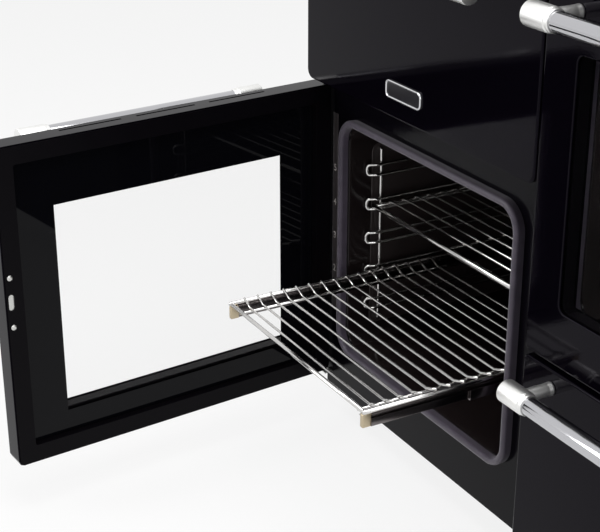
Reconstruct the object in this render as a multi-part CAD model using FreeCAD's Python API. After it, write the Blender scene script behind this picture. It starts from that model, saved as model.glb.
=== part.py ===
import FreeCAD, Part
import math
import os
from FreeCAD import Vector

os.makedirs("parts", exist_ok=True)

# A 100 cm range cooker: a main oven under a grill in the wide left column, a tall second oven
# over a storage drawer in the narrow right column, and a five-burner gas hob on top.
# Millimetres, x to the right, y to the back, z up; the origin is on the floor under the middle
# of the body. At rest the main door stands open and its telescopic shelf is drawn out.

# ---------------------------------------------------------------- driving dimensions
# Body
width = 1000.0               # across the side panels
depth = 600.0                # door fronts to back panel
chassis_z = 50.0             # underside of the body, carried by the feet
sheet = 2.0                  # folded sheet of the body and the fronts
front_proud = 40.0           # doors, fascia and drawer stand this far off the frame
column_split_x = 40.0        # line between the wide and the narrow column
front_gap = 3.0              # between neighbouring fronts
edge_inset = 2.0             # fronts stand in from the sides of the body
flange = 20.0                # width of the folded edges of the side panels
tray_lip = 22.0              # height of the folded edges of the base tray

# Fronts, heights
door_bottom_z = 74.0
main_door_height = 474.0
cooling_gap = 14.0           # air slot between the main door and the grill door
drawer_height = 273.0
drawer_gap = 7.0             # between the drawer front and the second door
second_door_height = 451.0
control_gap = 5.0            # between the upper doors and the control panel
control_height = 78.0
hob_gap = 2.0                # between the control panel and the hob
hob_height = 28.0            # skirt of the hob
front_corner_r = 8.0         # outline corners of the fronts
front_edge = 3.0             # eased edge round each front
grill_corner_r = 14.0        # outline corners of the grill door

# Doors
door_gap = 4.0               # shut door's inner face to the frame
liner_border = 27.0          # satin border of the inner liner round the glass
liner_wall = 1.5
liner_well_r = 3.0           # corners of the well in the liner
glass_recess = 10.0          # inner glass behind the liner's border
glass_t = 4.0
glass_clearance = 0.5
window_side = 62.0           # window's inset from the door's sides
window_bottom = 66.0
window_top = 84.0
window_corner_r = 10.0
glass_lap = 14.0             # outer pane behind the skin, beyond the window
second_window_side = 58.0
second_window_bottom = 71.0
second_window_top = 71.0
hinge_inset = 5.0            # hinge axis in from the door's edge
hinge_behind_face = 4.0      # hinge axis in front of the door's inner face
hinge_pin_r = 2.4
hinge_clearance = 0.05
hinge_arm_t = 2.0
hinge_arm_gap = 1.0          # between arm and door
hinge_arm_w = 14.0
hinge_pin_length = 16.0
hinge_boss = 9.0             # width of the liner's boss round the pin
hinge_bore_extra = 6.0       # bore runs on past the pin and through the skin
hinge_boss_outer = 3.0       # boss on the outer side of the pin
hinge_arm_front = 6.0        # arm in front of the pin's axis
main_door_open = 85.0        # main door at rest, degrees from shut
louvre_width = 93.0
louvre_height = 4.0
louvre_count = 3
louvre_pitch = 116.5
louvre_forward = 6.0         # slots in front of the middle of the top face

# Handles
handle_bar_r = 12.0
handle_end_r = 15.0
handle_end_length = 45.0
handle_length = 390.0        # ends included
handle_stand = 50.0          # bar's axis off the door's skin
handle_post_r = 9.0
handle_seat = 12.0           # depth of the bar in each end
handle_top_inset = 24.0      # bar's axis below the door's top
handle_chamfer = 2.0

# Catch of the main door
catch_rise = 254.0           # above the door's lower edge
catch_slot_height = 24.0
catch_slot_width = 8.0
catch_edge = 9.0             # slot's centre from the door's free edge
catch_screw_spacing = 73.0
catch_screw_r = 4.0
catch_head_rim = 1.0         # upright edge of the screw heads
catch_head_h = 2.0
catch_head_top_r = 2.4
keeper_t = 1.5               # strip behind the liner that the screws hold
keeper_over = 8.0            # strip beyond each screw

# Main oven
main_inset_hinge = 55.0      # mouth from the door's hinge side
main_inset_free = 70.5
main_inset_bottom = 67.0
main_inset_top = 49.0
cavity_corner_r = 28.0
cavity_wall = 1.5
cavity_flange = 9.0
gasket_width = 11.0
gasket_offset = 6.5          # gasket's centre line outside the cavity mouth
gasket_gap = 0.3             # shut door's glass to the gasket
gasket_shoulder = 3.85       # from the crown to the straight flanks
gasket_crown_half = 2.2
fan_cover_depth = 26.0
fan_cover_width = 300.0
fan_cover_height = 250.0
cover_slots = 3              # warm air slots above and below, in the fan cover
cover_slot_length = 50.0
cover_slot_height = 6.0
cover_slot_inset_x = 45.0
cover_slot_inset_z = 12.0
fan_r = 74.0
fan_blades = 9
fan_shaft_r = 4.0
fan_slots = 12               # round the middle of the fan cover
fan_slot_from = 22.2
fan_slot_to = 59.2
fan_slot_width = 5.0
fan_front_gap = 5.0          # fan behind its cover's front
fan_back_gap = 3.0
fan_disc_t = 1.5
fan_hub_r = 9.0
blade_inner_r = 37.0
blade_t = 1.6
blade_turn = 25.0
shaft_clearance = 0.1
element_r = 3.2
ring_r = 92.0
ring_chords = 12
ring_start = 100.0
ring_sweep = 340.0
motor_r = 34.0
motor_length = 48.0
motor_bore = 33.6            # shaft's length in the motor
motor_lug_reach = 14.0
motor_lug_t = 3.0
motor_lug_width = 18.0

# Racks and shelves of the main oven
level_1_rise = 60.0          # lowest level above the oven's floor
level_pitch = 54.75
levels = 5
rack_rod_r = 2.5
rack_off_wall = 5.0          # upright's axis off the cavity wall
rack_front = 30.0            # front upright behind the frame
rack_length = 400.0
rack_pair = 16.0             # support rod to guard rod of one level
rack_flare = 14.0            # length of the hairpin's bend out to the wall
rack_flare_out = 1.5         # closed fronts outside the uprights
rack_end_rise = 22.0         # uprights beyond the lowest and the highest rod
rack_upright_inset = 24.0    # uprights from the ends of the rods
shelf_depth = 374.0
shelf_home = 85.0            # pull-out shelf's front behind the frame, pushed home
shelf_rear_gap = 5.0         # pushed home, to the fan cover
shelf_side_r = 3.0
shelf_wire_r = 1.8
shelf_wires = 16
shelf_runner_r = 1.8         # thin rods along the shelf, under the wires
shelf_dish = 9.0             # cross wires below their own ends
shelf_dip = 22.0             # length of each wire's sloping end
shelf_back_rise = 13.0       # back bar above the side rods, as a stop
upper_shelf_front = 35.0     # upper shelf's front bar behind the frame
upper_shelf_depth = 344.0
upper_wire_count = 13
upper_shelf_level = 4
pull_out_level = 2
upper_bar_r = 3.6
shelf_door_gap = 2.5         # least gap between swinging door and moving shelf
rail_height = 18.0
rail_sheet = 1.3
rail_pitch = 2.6             # each rail member stands this far inside the last
rail_length = 372.0
rail_middle_back = 13.0      # middle member's front behind the shelf's, home
rail_fixed_front = 24.0      # fixed member's front behind the frame
rail_end_length = 12.0       # tapered block on the front of each inner rail
rail_end_gap = 0.5
rail_end_chamfer = 1.5
rail_stage_gap = 0.4         # between nested rail members, above and below
rail_middle_share = 0.92     # length of the middle member, as a share of the fixed one
rail_top_share = 0.96
rail_off_rack = 0.3
rail_member_w = 6.4          # each channel's width, web to open side
ledge_t = 1.5                # ledge of the inner rail, which carries the shelf
ledge_over_level = 4.5
rail_below_ledge = 2.2
shelf_side_in = 5.0          # side rods inside the rails' moving face
shelf_wire_end = 1.0         # flat shelves' wires stop short of the sides by this
shelf_side_gap = 2.5         # second oven's shelf and grill pan to the side walls

# Second oven
second_inset_side = 50.25     # mouth from the door's edges
second_inset_bottom = 50.0
second_inset_top = 49.0
second_depth = 430.0
second_level_1_rise = 58.0
second_level_pitch = 60.0
second_levels = 4
second_shelf_level = 2
ledge_depth = 10.0
ledge_height = 4.0
ledge_front = 25.0
ledge_length = 370.0
ledge_bite = 0.5             # ledges are welded this far into the wall
second_shelf_front = 60.0
second_shelf_depth = 330.0
second_wire_count = 11

# Grill
grill_inset_bottom = 42.0     # mouth from the door's lower edge
grill_inset_top = 45.0
grill_depth = 370.0
grill_ledge_rise = 34.0
grill_pan_front = 60.0       # pan's front behind the frame
grill_pan_length = 290.0
grill_pan_depth = 26.0
grill_pan_wall = 1.5
grill_pan_lip = 12.0         # rim that lies on the ledges

# Roof elements of the grill and of the second oven
element_loops = 4
element_tube_r = 3.5
element_drop = 14.0          # element's axis below the roof
element_front = 60.0
element_length = 260.0
element_inset = 50.0         # from the side walls

# Drawer
drawer_inset_side = 31.0      # drawer box from the front's edges
drawer_inset_bottom = 20.0
drawer_box_height = 190.0
drawer_box_depth = 450.0
drawer_mouth_gap = 8.0       # frame opening round the drawer box
runner_height = 16.0
runner_rise = 78.0           # slides above the drawer's floor
runner_gap = 0.4
runner_arm_t = 3.0
runner_guard_rise = 4.0      # guard above the slide
runner_side_gap = 0.6
runner_front = 6.0           # runner behind the folded edge of the side panel
runner_back = 10.0           # runner stops short of the drawer's back
slide_w = 6.0                # slides welded to the drawer box
slide_front = 12.0

# Hob
hob_plate_drop = 8.0         # burner plate below the rim
burner_layout = (            # third of the hob, y, crown radius
    (-1, -120.0, 36.0),
    (-1, 110.0, 46.0),
    (0, 0.0, 62.0),
    (1, -120.0, 26.0),
    (1, 110.0, 36.0),
)
burner_stem_r = 16.0
burner_stem_length = 14.0    # below the burner plate
burner_stem_gap = 1.0
burner_foot_t = 0.2
burner_foot_out = 4.0        # foot's radius beyond the crown's
burner_waist_h = 4.0
burner_waist_in = 2.0
burner_height = 14.0
burner_ports = 6
burner_port_width = 2.6
burner_port_length = 7.0
burner_port_depth = 4.0
cap_height = 5.0
cap_inset = 3.0
cap_chamfer_h = 1.5
cap_chamfer_in = 4.0
pan_rest_height = 34.0       # top of the pan supports above the plate
pan_bar = 9.0
pan_bar_depth = 11.0
pan_inset_x = 14.0
pan_inset_front = 22.0
pan_inset_back = 62.0
pan_gap = 8.0                # between neighbouring pan supports
pan_finger_gap = 12.0        # finger tips stop this far inside the crown
vent_inset = 40.0
vent_back_gap = 1.0
vent_depth = 34.0
vent_height = 16.0
vent_slots = 9
vent_slot_inset = 60.0
vent_slot_width = 64.0
vent_slot_depth = 7.0
rim_clearance = 4.0

# Controls
knob_count = 8               # in two rows that start near the sides
knob_inset = 60.0
knob_pitch = 90.0
knob_skirt_r = 23.0
knob_skirt_h = 7.0
knob_grip_r = 17.0
knob_grip_h = 20.0
knob_sides = 12
knob_skirt_taper = 2.0
knob_step = 0.5              # from the skirt to the grip
knob_grip_taper = 3.0
knob_ridge_w = 3.0           # ridge that points to the setting
knob_ridge_rise = 1.5
knob_bore_gap = 1.5          # beyond the spindle's end
knob_gap = 1.2               # knob's back off the control panel
spindle_r = 3.0
spindle_sides = 6
spindle_clearance = 0.06     # knob's bore outside the spindle's corners
spindle_reach = 14.0         # into the knob
spindle_hole_gap = 1.5
tap_r = 11.0
tap_length = 20.0
tap_shoulder = 0.4
manifold_r = 6.0
manifold_over = 20.0         # pipe beyond the first tap
pipe_hole_gap = 3.0
pipe_turn_y = 40.0           # pipe's bend up, behind the frame
pipe_level_y = 60.0          # pipe runs level from here to the back panel
clock_width = 130.0
clock_height = 44.0
clock_proud = 1.5
clock_corner_r = 6.0
clock_rim = 4.0              # face laps the panel's opening by this
clock_body_gap = 0.5
clock_body_depth = 22.0
inlet_r = 10.5               # half-inch tail at the back
inlet_length = 30.0
inlet_off_panel = 2.0
inlet_inset = 60.0
inlet_z = 800.0
cable_hole_r = 12.0
cable_hole_depth = 24.0
terminal_inset = 200.0       # terminal box's middle from the side
cable_hole_z = 120.0
terminal_size = (90.0, 30.0, 70.0)

# Plate on the grill door
plate_width = 84.0
plate_height = 25.0
plate_rise = 39.0            # above the door's lower edge
plate_off_middle = -11.0     # plate's middle from the door's
plate_t = 3.0
plate_rim = 3.0
plate_corner_r = 7.5

# Feet
foot_inset_x = 62.0
foot_inset_y = 55.0
foot_pad_r = 24.0
foot_pad_h = 12.0
foot_stem_r = 6.0
foot_nut_r = 11.0
foot_nut_h = 8.0
foot_nut_chamfer_h = 0.5
foot_nut_chamfer_r = 2.0
foot_above = 12.0            # stem above the base tray
foot_clearance = 0.6

# Back panel
back_louvres = 5
back_louvre_width = 120.0
back_louvre_height = 5.0
back_louvre_pitch = 26.0
back_louvre_z = 560.0

# ---------------------------------------------------------------- places worked out from them
left_x = -width / 2
right_x = width / 2
front_y = -depth / 2
back_y = depth / 2
frame_y = front_y + front_proud
frame_back_y = frame_y + sheet
door_back_y = frame_y - door_gap
wide_x0 = left_x + edge_inset
wide_x1 = column_split_x - front_gap / 2
narrow_x0 = column_split_x + front_gap / 2
narrow_x1 = right_x - edge_inset
main_door_z1 = door_bottom_z + main_door_height
drawer_z1 = door_bottom_z + drawer_height
second_door_z0 = drawer_z1 + drawer_gap
second_door_z1 = second_door_z0 + second_door_height
control_z0 = second_door_z1 + control_gap
control_z1 = control_z0 + control_height
hob_z0 = control_z1 + hob_gap
hob_z1 = hob_z0 + hob_height
plate_top_z = hob_z1 - hob_plate_drop
grill_door_z0 = main_door_z1 + cooling_gap
grill_door_z1 = second_door_z1
grill_z0 = grill_door_z0 + grill_inset_bottom
grill_z1 = grill_door_z1 - grill_inset_top
grill_ledge_z = grill_z0 + grill_ledge_rise
plate_z = grill_door_z0 + plate_rise
grill_back_y = frame_y + grill_depth
main_x0 = wide_x0 + main_inset_hinge
main_x1 = wide_x1 - main_inset_free
main_z0 = door_bottom_z + main_inset_bottom
main_z1 = main_door_z1 - main_inset_top
main_mid_x = (main_x0 + main_x1) / 2
main_mid_z = (main_z0 + main_z1) / 2
second_x0 = narrow_x0 + second_inset_side
second_x1 = narrow_x1 - second_inset_side
second_z0 = second_door_z0 + second_inset_bottom
second_z1 = second_door_z1 - second_inset_top
fan_cover_y = frame_y + shelf_home + shelf_depth + shelf_rear_gap
main_back_y = fan_cover_y + fan_cover_depth
second_back_y = frame_y + second_depth
glass_y = door_back_y - glass_recess            # inner face of the inner glass, door shut
hinge_y = door_back_y - hinge_behind_face
main_hinge_x = wide_x0 + hinge_inset
second_hinge_x = narrow_x1 - hinge_inset
level_1_z = main_z0 + level_1_rise
second_level_1_z = second_z0 + second_level_1_rise
catch_z = door_bottom_z + catch_rise
drawer_box_x0 = narrow_x0 + drawer_inset_side
drawer_box_x1 = narrow_x1 - drawer_inset_side
drawer_box_z0 = door_bottom_z + drawer_inset_bottom
runner_z = drawer_box_z0 + runner_rise
knob_xs = [side * (right_x - knob_inset - i * knob_pitch) for side in (-1, 1) for i in range(knob_count // 2)]
knob_xs.sort()
inlet_x = right_x - inlet_inset
cable_hole_x = right_x - terminal_inset
hob_third = (width - 2 * pan_inset_x - 2 * pan_gap) / 3


# ---------------------------------------------------------------- ways of making
# A shape that cuts runs 1 mm past each face it goes through.
def box(x0, x1, y0, y1, z0, z1):
    """A block between two corners."""
    return Part.makeBox(x1 - x0, y1 - y0, z1 - z0, Vector(x0, y0, z0))


def outline(x0, x1, z0, z1, y, r, steps):
    """Corners of a front outline: a rectangle whose corners are arcs in so many chords."""
    if steps == 0:
        return [Vector(x, y, z) for x, z in ((x1, z0), (x1, z1), (x0, z1), (x0, z0))]
    points = []
    centres = ((x1 - r, z0 + r), (x1 - r, z1 - r), (x0 + r, z1 - r), (x0 + r, z0 + r))
    for quarter, (cx, cz) in enumerate(centres):
        for i in range(steps + 1):
            turn = math.pi / 2 * (quarter - 1 + i / steps)
            points.append(Vector(cx + r * math.cos(turn), y, cz + r * math.sin(turn)))
    return points


def corner_steps(r):
    """Chords in a quarter turn, more for a larger corner."""
    return 0 if r <= 0 else max(2, round(0.75 * math.sqrt(r)))


def slab(x0, x1, z0, z1, y0, y1, r=0.0):
    """A plate whose front outline is a rectangle with round corners, from y0 to y1."""
    steps = corner_steps(r)
    return bridge([outline(x0, x1, z0, z1, y, r, steps) for y in (y0, y1)])


def eased_slab(x0, x1, z0, z1, y0, y1, r, ease):
    """A slab whose front edge, at y0, is bevelled all round."""
    steps = corner_steps(r)
    return bridge([
        outline(x0 + ease, x1 - ease, z0 + ease, z1 - ease, y0, r - ease, steps),
        outline(x0, x1, z0, z1, y0 + ease, r, steps),
        outline(x0, x1, z0, z1, y1, r, steps),
    ])


def slab_flat(x0, x1, y0, y1, z0, z1, r):
    """A lying plate with round corners."""
    steps = corner_steps(r)
    rings = []
    for z in (z0, z1):
        rings.append([Vector(p.x, p.z, z) for p in outline(x0, x1, y0, y1, 0, r, steps)])
    return bridge(rings)


def solid_of(faces):
    """A closed solid from plane faces that meet edge to edge."""
    shell = Part.makeShell(faces)
    shell.sewShape()
    solid = Part.makeSolid(shell)
    if solid.Volume < 0:
        solid.reverse()
    return solid


def ring_about(centre, axis, radius, sides):
    """Corners of a regular polygon whose flats touch a circle of this radius."""
    lead = Vector(0, 0, 1) if abs(axis.z) < 0.9 else Vector(0, 1, 0)
    across = axis.cross(lead).normalize()
    lead = across.cross(axis)
    reach = radius / math.cos(math.pi / sides)
    first = 0.5 if sides % 4 == 0 else 0.0
    turns = [(i + first) * 2 * math.pi / sides for i in range(sides)]
    return [centre + across * (reach * math.cos(t)) + lead * (reach * math.sin(t)) for t in turns]


def bridge(rings):
    """The solid through a row of polygon rings, closed at both ends."""
    faces = [Part.Face(Part.makePolygon(ring + ring[:1])) for ring in (rings[0], rings[-1])]
    for near, far in zip(rings, rings[1:]):
        for i in range(len(near)):
            j = (i + 1) % len(near)
            quad = [near[i], near[j], far[j], far[i], near[i]]
            faces.append(Part.Face(Part.makePolygon(quad)))
    return solid_of(faces)


def rod(points, radius, sides=8):
    """A round wire or bar, faceted, along straight runs with mitred bends."""
    points = [Vector(*p) for p in points]
    runs = [(b - a).normalize() for a, b in zip(points, points[1:])]
    ring = ring_about(points[0], runs[0], radius, sides)
    rings = [ring]
    for i, run in enumerate(runs):
        following = runs[i + 1] if i + 1 < len(runs) else run
        normal = run + following
        ring = [p + run * ((points[i + 1] - p).dot(normal) / run.dot(normal)) for p in ring]
        rings.append(ring)
    return bridge(rings)


def turned(origin, axis, profile, sides):
    """A turned piece, faceted: profile is (distance along the axis, radius) in order."""
    origin = Vector(*origin)
    axis = Vector(*axis)
    return bridge([ring_about(origin + axis * along, axis, radius, sides) for along, radius in profile])


def round_bar(origin, axis, radius, length, sides=12):
    """A bar or a hole of round section, faceted; its flats touch the radius."""
    return turned(origin, axis, ((0, radius), (length, radius)), sides)


def fused(shapes):
    """One piece from several that are welded or moulded together."""
    shapes = list(shapes)
    return shapes[0].multiFuse(shapes[1:]).removeSplitter()


def mirrored_x(shape, x):
    """The same piece on the other side of the plane at x."""
    return shape.mirror(Vector(x, 0, 0), Vector(1, 0, 0))


def both_sides(shape, x):
    return [shape, mirrored_x(shape, x)]


def save(name, shapes):
    """One file per sub-part, with one solid per piece."""
    shapes = shapes if isinstance(shapes, list) else [shapes]
    solids = [solid for shape in shapes for solid in shape.Solids]
    assert solids and all(s.isValid() and s.Volume > 0 for s in solids), name
    group = Part.makeCompound(solids) if len(solids) > 1 else solids[0]
    group.exportStep(os.path.join("parts", name + ".step"))


# ---------------------------------------------------------------- telescopic travel
# The shelf may only stand out as far as the door leaves room. The door and the shelf are
# drawn together by a constant ratio, so the ratio is the steepest that keeps the shelf's
# outer front corner clear of the door's glass at every angle.
rack_x = main_x0 + rack_off_wall                    # uprights, left side
rung_x = rack_x + 2 * rack_rod_r                    # rungs, welded inside the uprights
flare_x = rack_x - rack_flare_out                   # closed fronts of the hairpins, by the wall
rail_x = rung_x + rack_rod_r + rail_off_rack        # outer face of the fixed rail
moving_x = rail_x + rail_pitch                      # outermost face that travels
ledge_z = level_1_z + (pull_out_level - 1) * level_pitch + ledge_over_level
rail_z = ledge_z - ledge_t - rail_height / 2 - rail_below_ledge


def room_in_front(angle):
    """How far the moving corner may stand in front of the frame, door open by angle."""
    turn = math.radians(angle)
    beside = moving_x - main_hinge_x
    glass = hinge_y - glass_y
    reach = (beside * math.sin(turn) + glass - shelf_door_gap) / math.cos(turn)
    return (frame_y - hinge_y) + reach


shelf_per_degree = min((room_in_front(a) + shelf_home) / a for a in range(10, int(main_door_open) + 1))
shelf_travel = shelf_per_degree * main_door_open
shelf_out = shelf_travel - shelf_home               # front of the shelf before the frame, at rest
shelf_front_y = frame_y - shelf_out


# ---------------------------------------------------------------- base, sides and back
def make_body():
    """Base tray on feet, folded side panels, partition, vented back and front frame."""
    inner_y0 = frame_back_y + sheet
    inner_y1 = back_y - 2 * sheet
    tray = box(left_x + sheet, right_x - sheet, inner_y0, inner_y1, chassis_z, chassis_z + tray_lip)
    tray = tray.cut(box(left_x + 2 * sheet, right_x - 2 * sheet, inner_y0 + sheet,
                        inner_y1 - sheet, chassis_z + sheet, chassis_z + tray_lip))
    feet = []
    for x in (left_x + foot_inset_x, right_x - foot_inset_x):
        for y in (frame_y + foot_inset_y, back_y - foot_inset_y):
            stem_top = chassis_z + sheet + foot_above
            feet.append(turned((x, y, 0), (0, 0, 1), (
                (0, foot_pad_r), (foot_pad_h, foot_stem_r),
                (chassis_z - foot_nut_h, foot_stem_r),
                (chassis_z - foot_nut_h + foot_nut_chamfer_h, foot_nut_r),
                (chassis_z - foot_nut_chamfer_h, foot_nut_r), (chassis_z, foot_nut_r - foot_nut_chamfer_r),
                (chassis_z, foot_stem_r - foot_clearance), (stem_top, foot_stem_r - foot_clearance),
            ), 6))
            tray = tray.cut(round_bar((x, y, chassis_z - 1), (0, 0, 1), foot_stem_r, sheet + 2, 6))
    save("base_tray", tray)
    save("feet", feet)

    side = box(left_x, left_x + sheet, frame_back_y, back_y - sheet, chassis_z, hob_z0)
    for y in (frame_back_y, back_y - 2 * sheet):
        side = side.fuse(box(left_x + sheet, left_x + flange, y, y + sheet, chassis_z, hob_z0))
    side = side.removeSplitter()
    save("side_panels", both_sides(side, 0))

    save("centre_partition", box(
        column_split_x - sheet / 2, column_split_x + sheet / 2, inner_y0 + sheet, inner_y1 - sheet,
        chassis_z + sheet, hob_z0,
    ))

    back = box(left_x, right_x, back_y - sheet, back_y, chassis_z, hob_z0)
    slots = []
    for column_x in (main_mid_x, (narrow_x0 + narrow_x1) / 2):
        for i in range(back_louvres):
            z = back_louvre_z + i * back_louvre_pitch
            slots.append(box(column_x - back_louvre_width / 2, column_x + back_louvre_width / 2,
                             back_y - 2 * sheet, back_y + sheet, z, z + back_louvre_height))
    slots.append(round_bar((inlet_x, back_y + sheet, inlet_z), (0, -1, 0), manifold_r + pipe_hole_gap,
                           3 * sheet))
    save("back_panel", back.cut(Part.makeCompound(slots)))

    frame = box(left_x, right_x, frame_y, frame_back_y, chassis_z, hob_z0)
    gap = drawer_mouth_gap
    openings = [
        slab(main_x0, main_x1, main_z0, main_z1, frame_y - 1, frame_back_y + 1, cavity_corner_r),
        slab(main_x0, main_x1, grill_z0, grill_z1, frame_y - 1, frame_back_y + 1, cavity_corner_r),
        slab(second_x0, second_x1, second_z0, second_z1, frame_y - 1, frame_back_y + 1, cavity_corner_r),
        box(drawer_box_x0 - gap, drawer_box_x1 + gap, frame_y - 1, frame_back_y + 1,
            drawer_box_z0 - gap, drawer_box_z0 + drawer_box_height + gap),
    ]
    openings.append(round_bar((inlet_x, frame_y - 1, knob_z), (0, 1, 0), manifold_r + pipe_hole_gap,
                              sheet + 2))
    save("front_frame", frame.cut(Part.makeCompound(openings)))


# ---------------------------------------------------------------- fronts
def front_shell(x0, x1, z0, z1, y1, corner_r):
    """A pressed front: a skin with bevelled edges and sides folded back to y1."""
    outer = eased_slab(x0, x1, z0, z1, front_y, y1, corner_r, front_edge)
    inner = eased_slab(x0 + sheet, x1 - sheet, z0 + sheet, z1 - sheet, front_y + sheet, y1 + 1,
                       corner_r - sheet, front_edge - sheet / 2)
    return outer.cut(inner)


def make_handle(mid_x, bar_z):
    """A round bar held at its ends by satin sockets, each on a short post."""
    bar_y = front_y - handle_stand
    x0 = mid_x - handle_length / 2
    seat = handle_end_length - handle_seat
    bar = round_bar((x0 + seat, bar_y, bar_z), (1, 0, 0), handle_bar_r, handle_length - 2 * seat, 10)
    end = turned((x0, bar_y, bar_z), (1, 0, 0), (
        (0, handle_end_r - handle_chamfer), (handle_chamfer, handle_end_r),
        (handle_end_length, handle_end_r)), 10)
    post = round_bar((x0 + handle_end_length / 2, bar_y, bar_z), (0, 1, 0), handle_post_r, handle_stand, 8)
    socket = round_bar((x0 + seat, bar_y, bar_z), (1, 0, 0), handle_bar_r, handle_end_length, 10)
    return bar, both_sides(end.fuse(post).cut(socket), mid_x)


def hinge_fit(x0, x1, z0, z1, hinge_x, corner_r=front_corner_r):
    """Bosses inside the liner's upper and lower corners, and the holes for the pins."""
    bosses = []
    bores = []
    for z, way in ((z1, -1), (z0, 1)):
        low, high = sorted((z + way * sheet, z + way * (sheet + hinge_pin_length)))
        bosses.append(box(hinge_x - hinge_boss_outer, hinge_x + hinge_boss, hinge_y - hinge_boss,
                          door_back_y, low, high))
        bores.append(round_bar((hinge_x, hinge_y, z + way * (hinge_pin_length + sheet)), (0, 0, -way),
                              hinge_pin_r + hinge_clearance, hinge_pin_length + hinge_bore_extra, 8))
    if hinge_x > (x0 + x1) / 2:
        bosses = [mirrored_x(b, hinge_x) for b in bosses]
    inside = slab(x0 + sheet, x1 - sheet, z0 + sheet, z1 - sheet, front_y, door_back_y,
                  corner_r - sheet)
    return [b.common(inside) for b in bosses], Part.makeCompound(bores)


def make_liner(x0, x1, z0, z1, floor_y, corner_r=front_corner_r):
    """The door's inner pressing: a border on the door's back and a well down to floor_y."""
    lx0, lx1, lz0, lz1 = x0 + sheet, x1 - sheet, z0 + sheet, z1 - sheet
    gx0, gx1, gz0, gz1 = x0 + liner_border, x1 - liner_border, z0 + liner_border, z1 - liner_border
    face_r = corner_r - sheet
    wall = liner_wall
    liner = slab(lx0, lx1, lz0, lz1, floor_y - wall, door_back_y, face_r)
    liner = liner.cut(slab(gx0, gx1, gz0, gz1, floor_y, door_back_y + 1, liner_well_r))
    hollow = slab(lx0 + wall, lx1 - wall, lz0 + wall, lz1 - wall, floor_y - 2 * wall,
                  door_back_y - wall, face_r - wall)
    hollow = hollow.cut(slab(gx0 - wall, gx1 + wall, gz0 - wall, gz1 + wall, floor_y - 3 * wall,
                             door_back_y, liner_well_r))
    return liner.cut(hollow)


def make_door_set(x0, x1, z0, z1, window, hinge_x):
    """Skin with a window, outer pane, liner with a window tunnel, and inner glass."""
    wx0, wx1, wz0, wz1 = window
    r = window_corner_r
    wall = liner_wall
    skin = front_shell(x0, x1, z0, z1, door_back_y - wall, front_corner_r)
    skin = skin.cut(slab(wx0, wx1, wz0, wz1, front_y - 1, front_y + sheet + 1, r))
    pane_y1 = front_y + sheet + glass_t
    pane = slab(wx0 - glass_lap, wx1 + glass_lap, wz0 - glass_lap, wz1 + glass_lap,
                front_y + sheet, pane_y1, r)
    ledge_y = glass_y - glass_t
    liner = make_liner(x0, x1, z0, z1, ledge_y)
    tunnel = slab(wx0 - wall, wx1 + wall, wz0 - wall, wz1 + wall, pane_y1, ledge_y, r + wall)
    liner = liner.fuse(tunnel).cut(slab(wx0, wx1, wz0, wz1, pane_y1 - 1, ledge_y + 1, r))
    bosses, bores = hinge_fit(x0, x1, z0, z1, hinge_x)
    liner = fused([liner] + bosses).cut(bores)
    in_border = liner_border + glass_clearance
    glass = slab(x0 + in_border, x1 - in_border, z0 + in_border, z1 - in_border, ledge_y, glass_y,
                 liner_well_r)
    return skin.cut(bores), pane, liner, glass


def make_hinges(x, z0, z1):
    """Two arms off the frame, above and below the door, each with a fixed pin."""
    pieces = []
    for z, way in ((z1, 1), (z0, -1)):
        near = z + way * hinge_arm_gap
        low, high = sorted((near, near + way * hinge_arm_t))
        outer = x - hinge_inset if x < 0 else x + hinge_inset
        inner = outer + hinge_arm_w if x < 0 else outer - hinge_arm_w
        arm = box(min(outer, inner), max(outer, inner), hinge_y - hinge_arm_front, frame_y, low, high)
        pin = Part.makeCylinder(hinge_pin_r, hinge_pin_length,
                                Vector(x, hinge_y, near + way * hinge_arm_t / 2), Vector(0, 0, -way))
        pieces.append(arm.fuse(pin).removeSplitter())
    return pieces


def opened(shape):
    """Main-door pieces are built shut and then swung open about the hinge."""
    shape = shape.copy()
    shape.rotate(Vector(main_hinge_x, hinge_y, 0), Vector(0, 0, 1), -main_door_open)
    return shape


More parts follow.
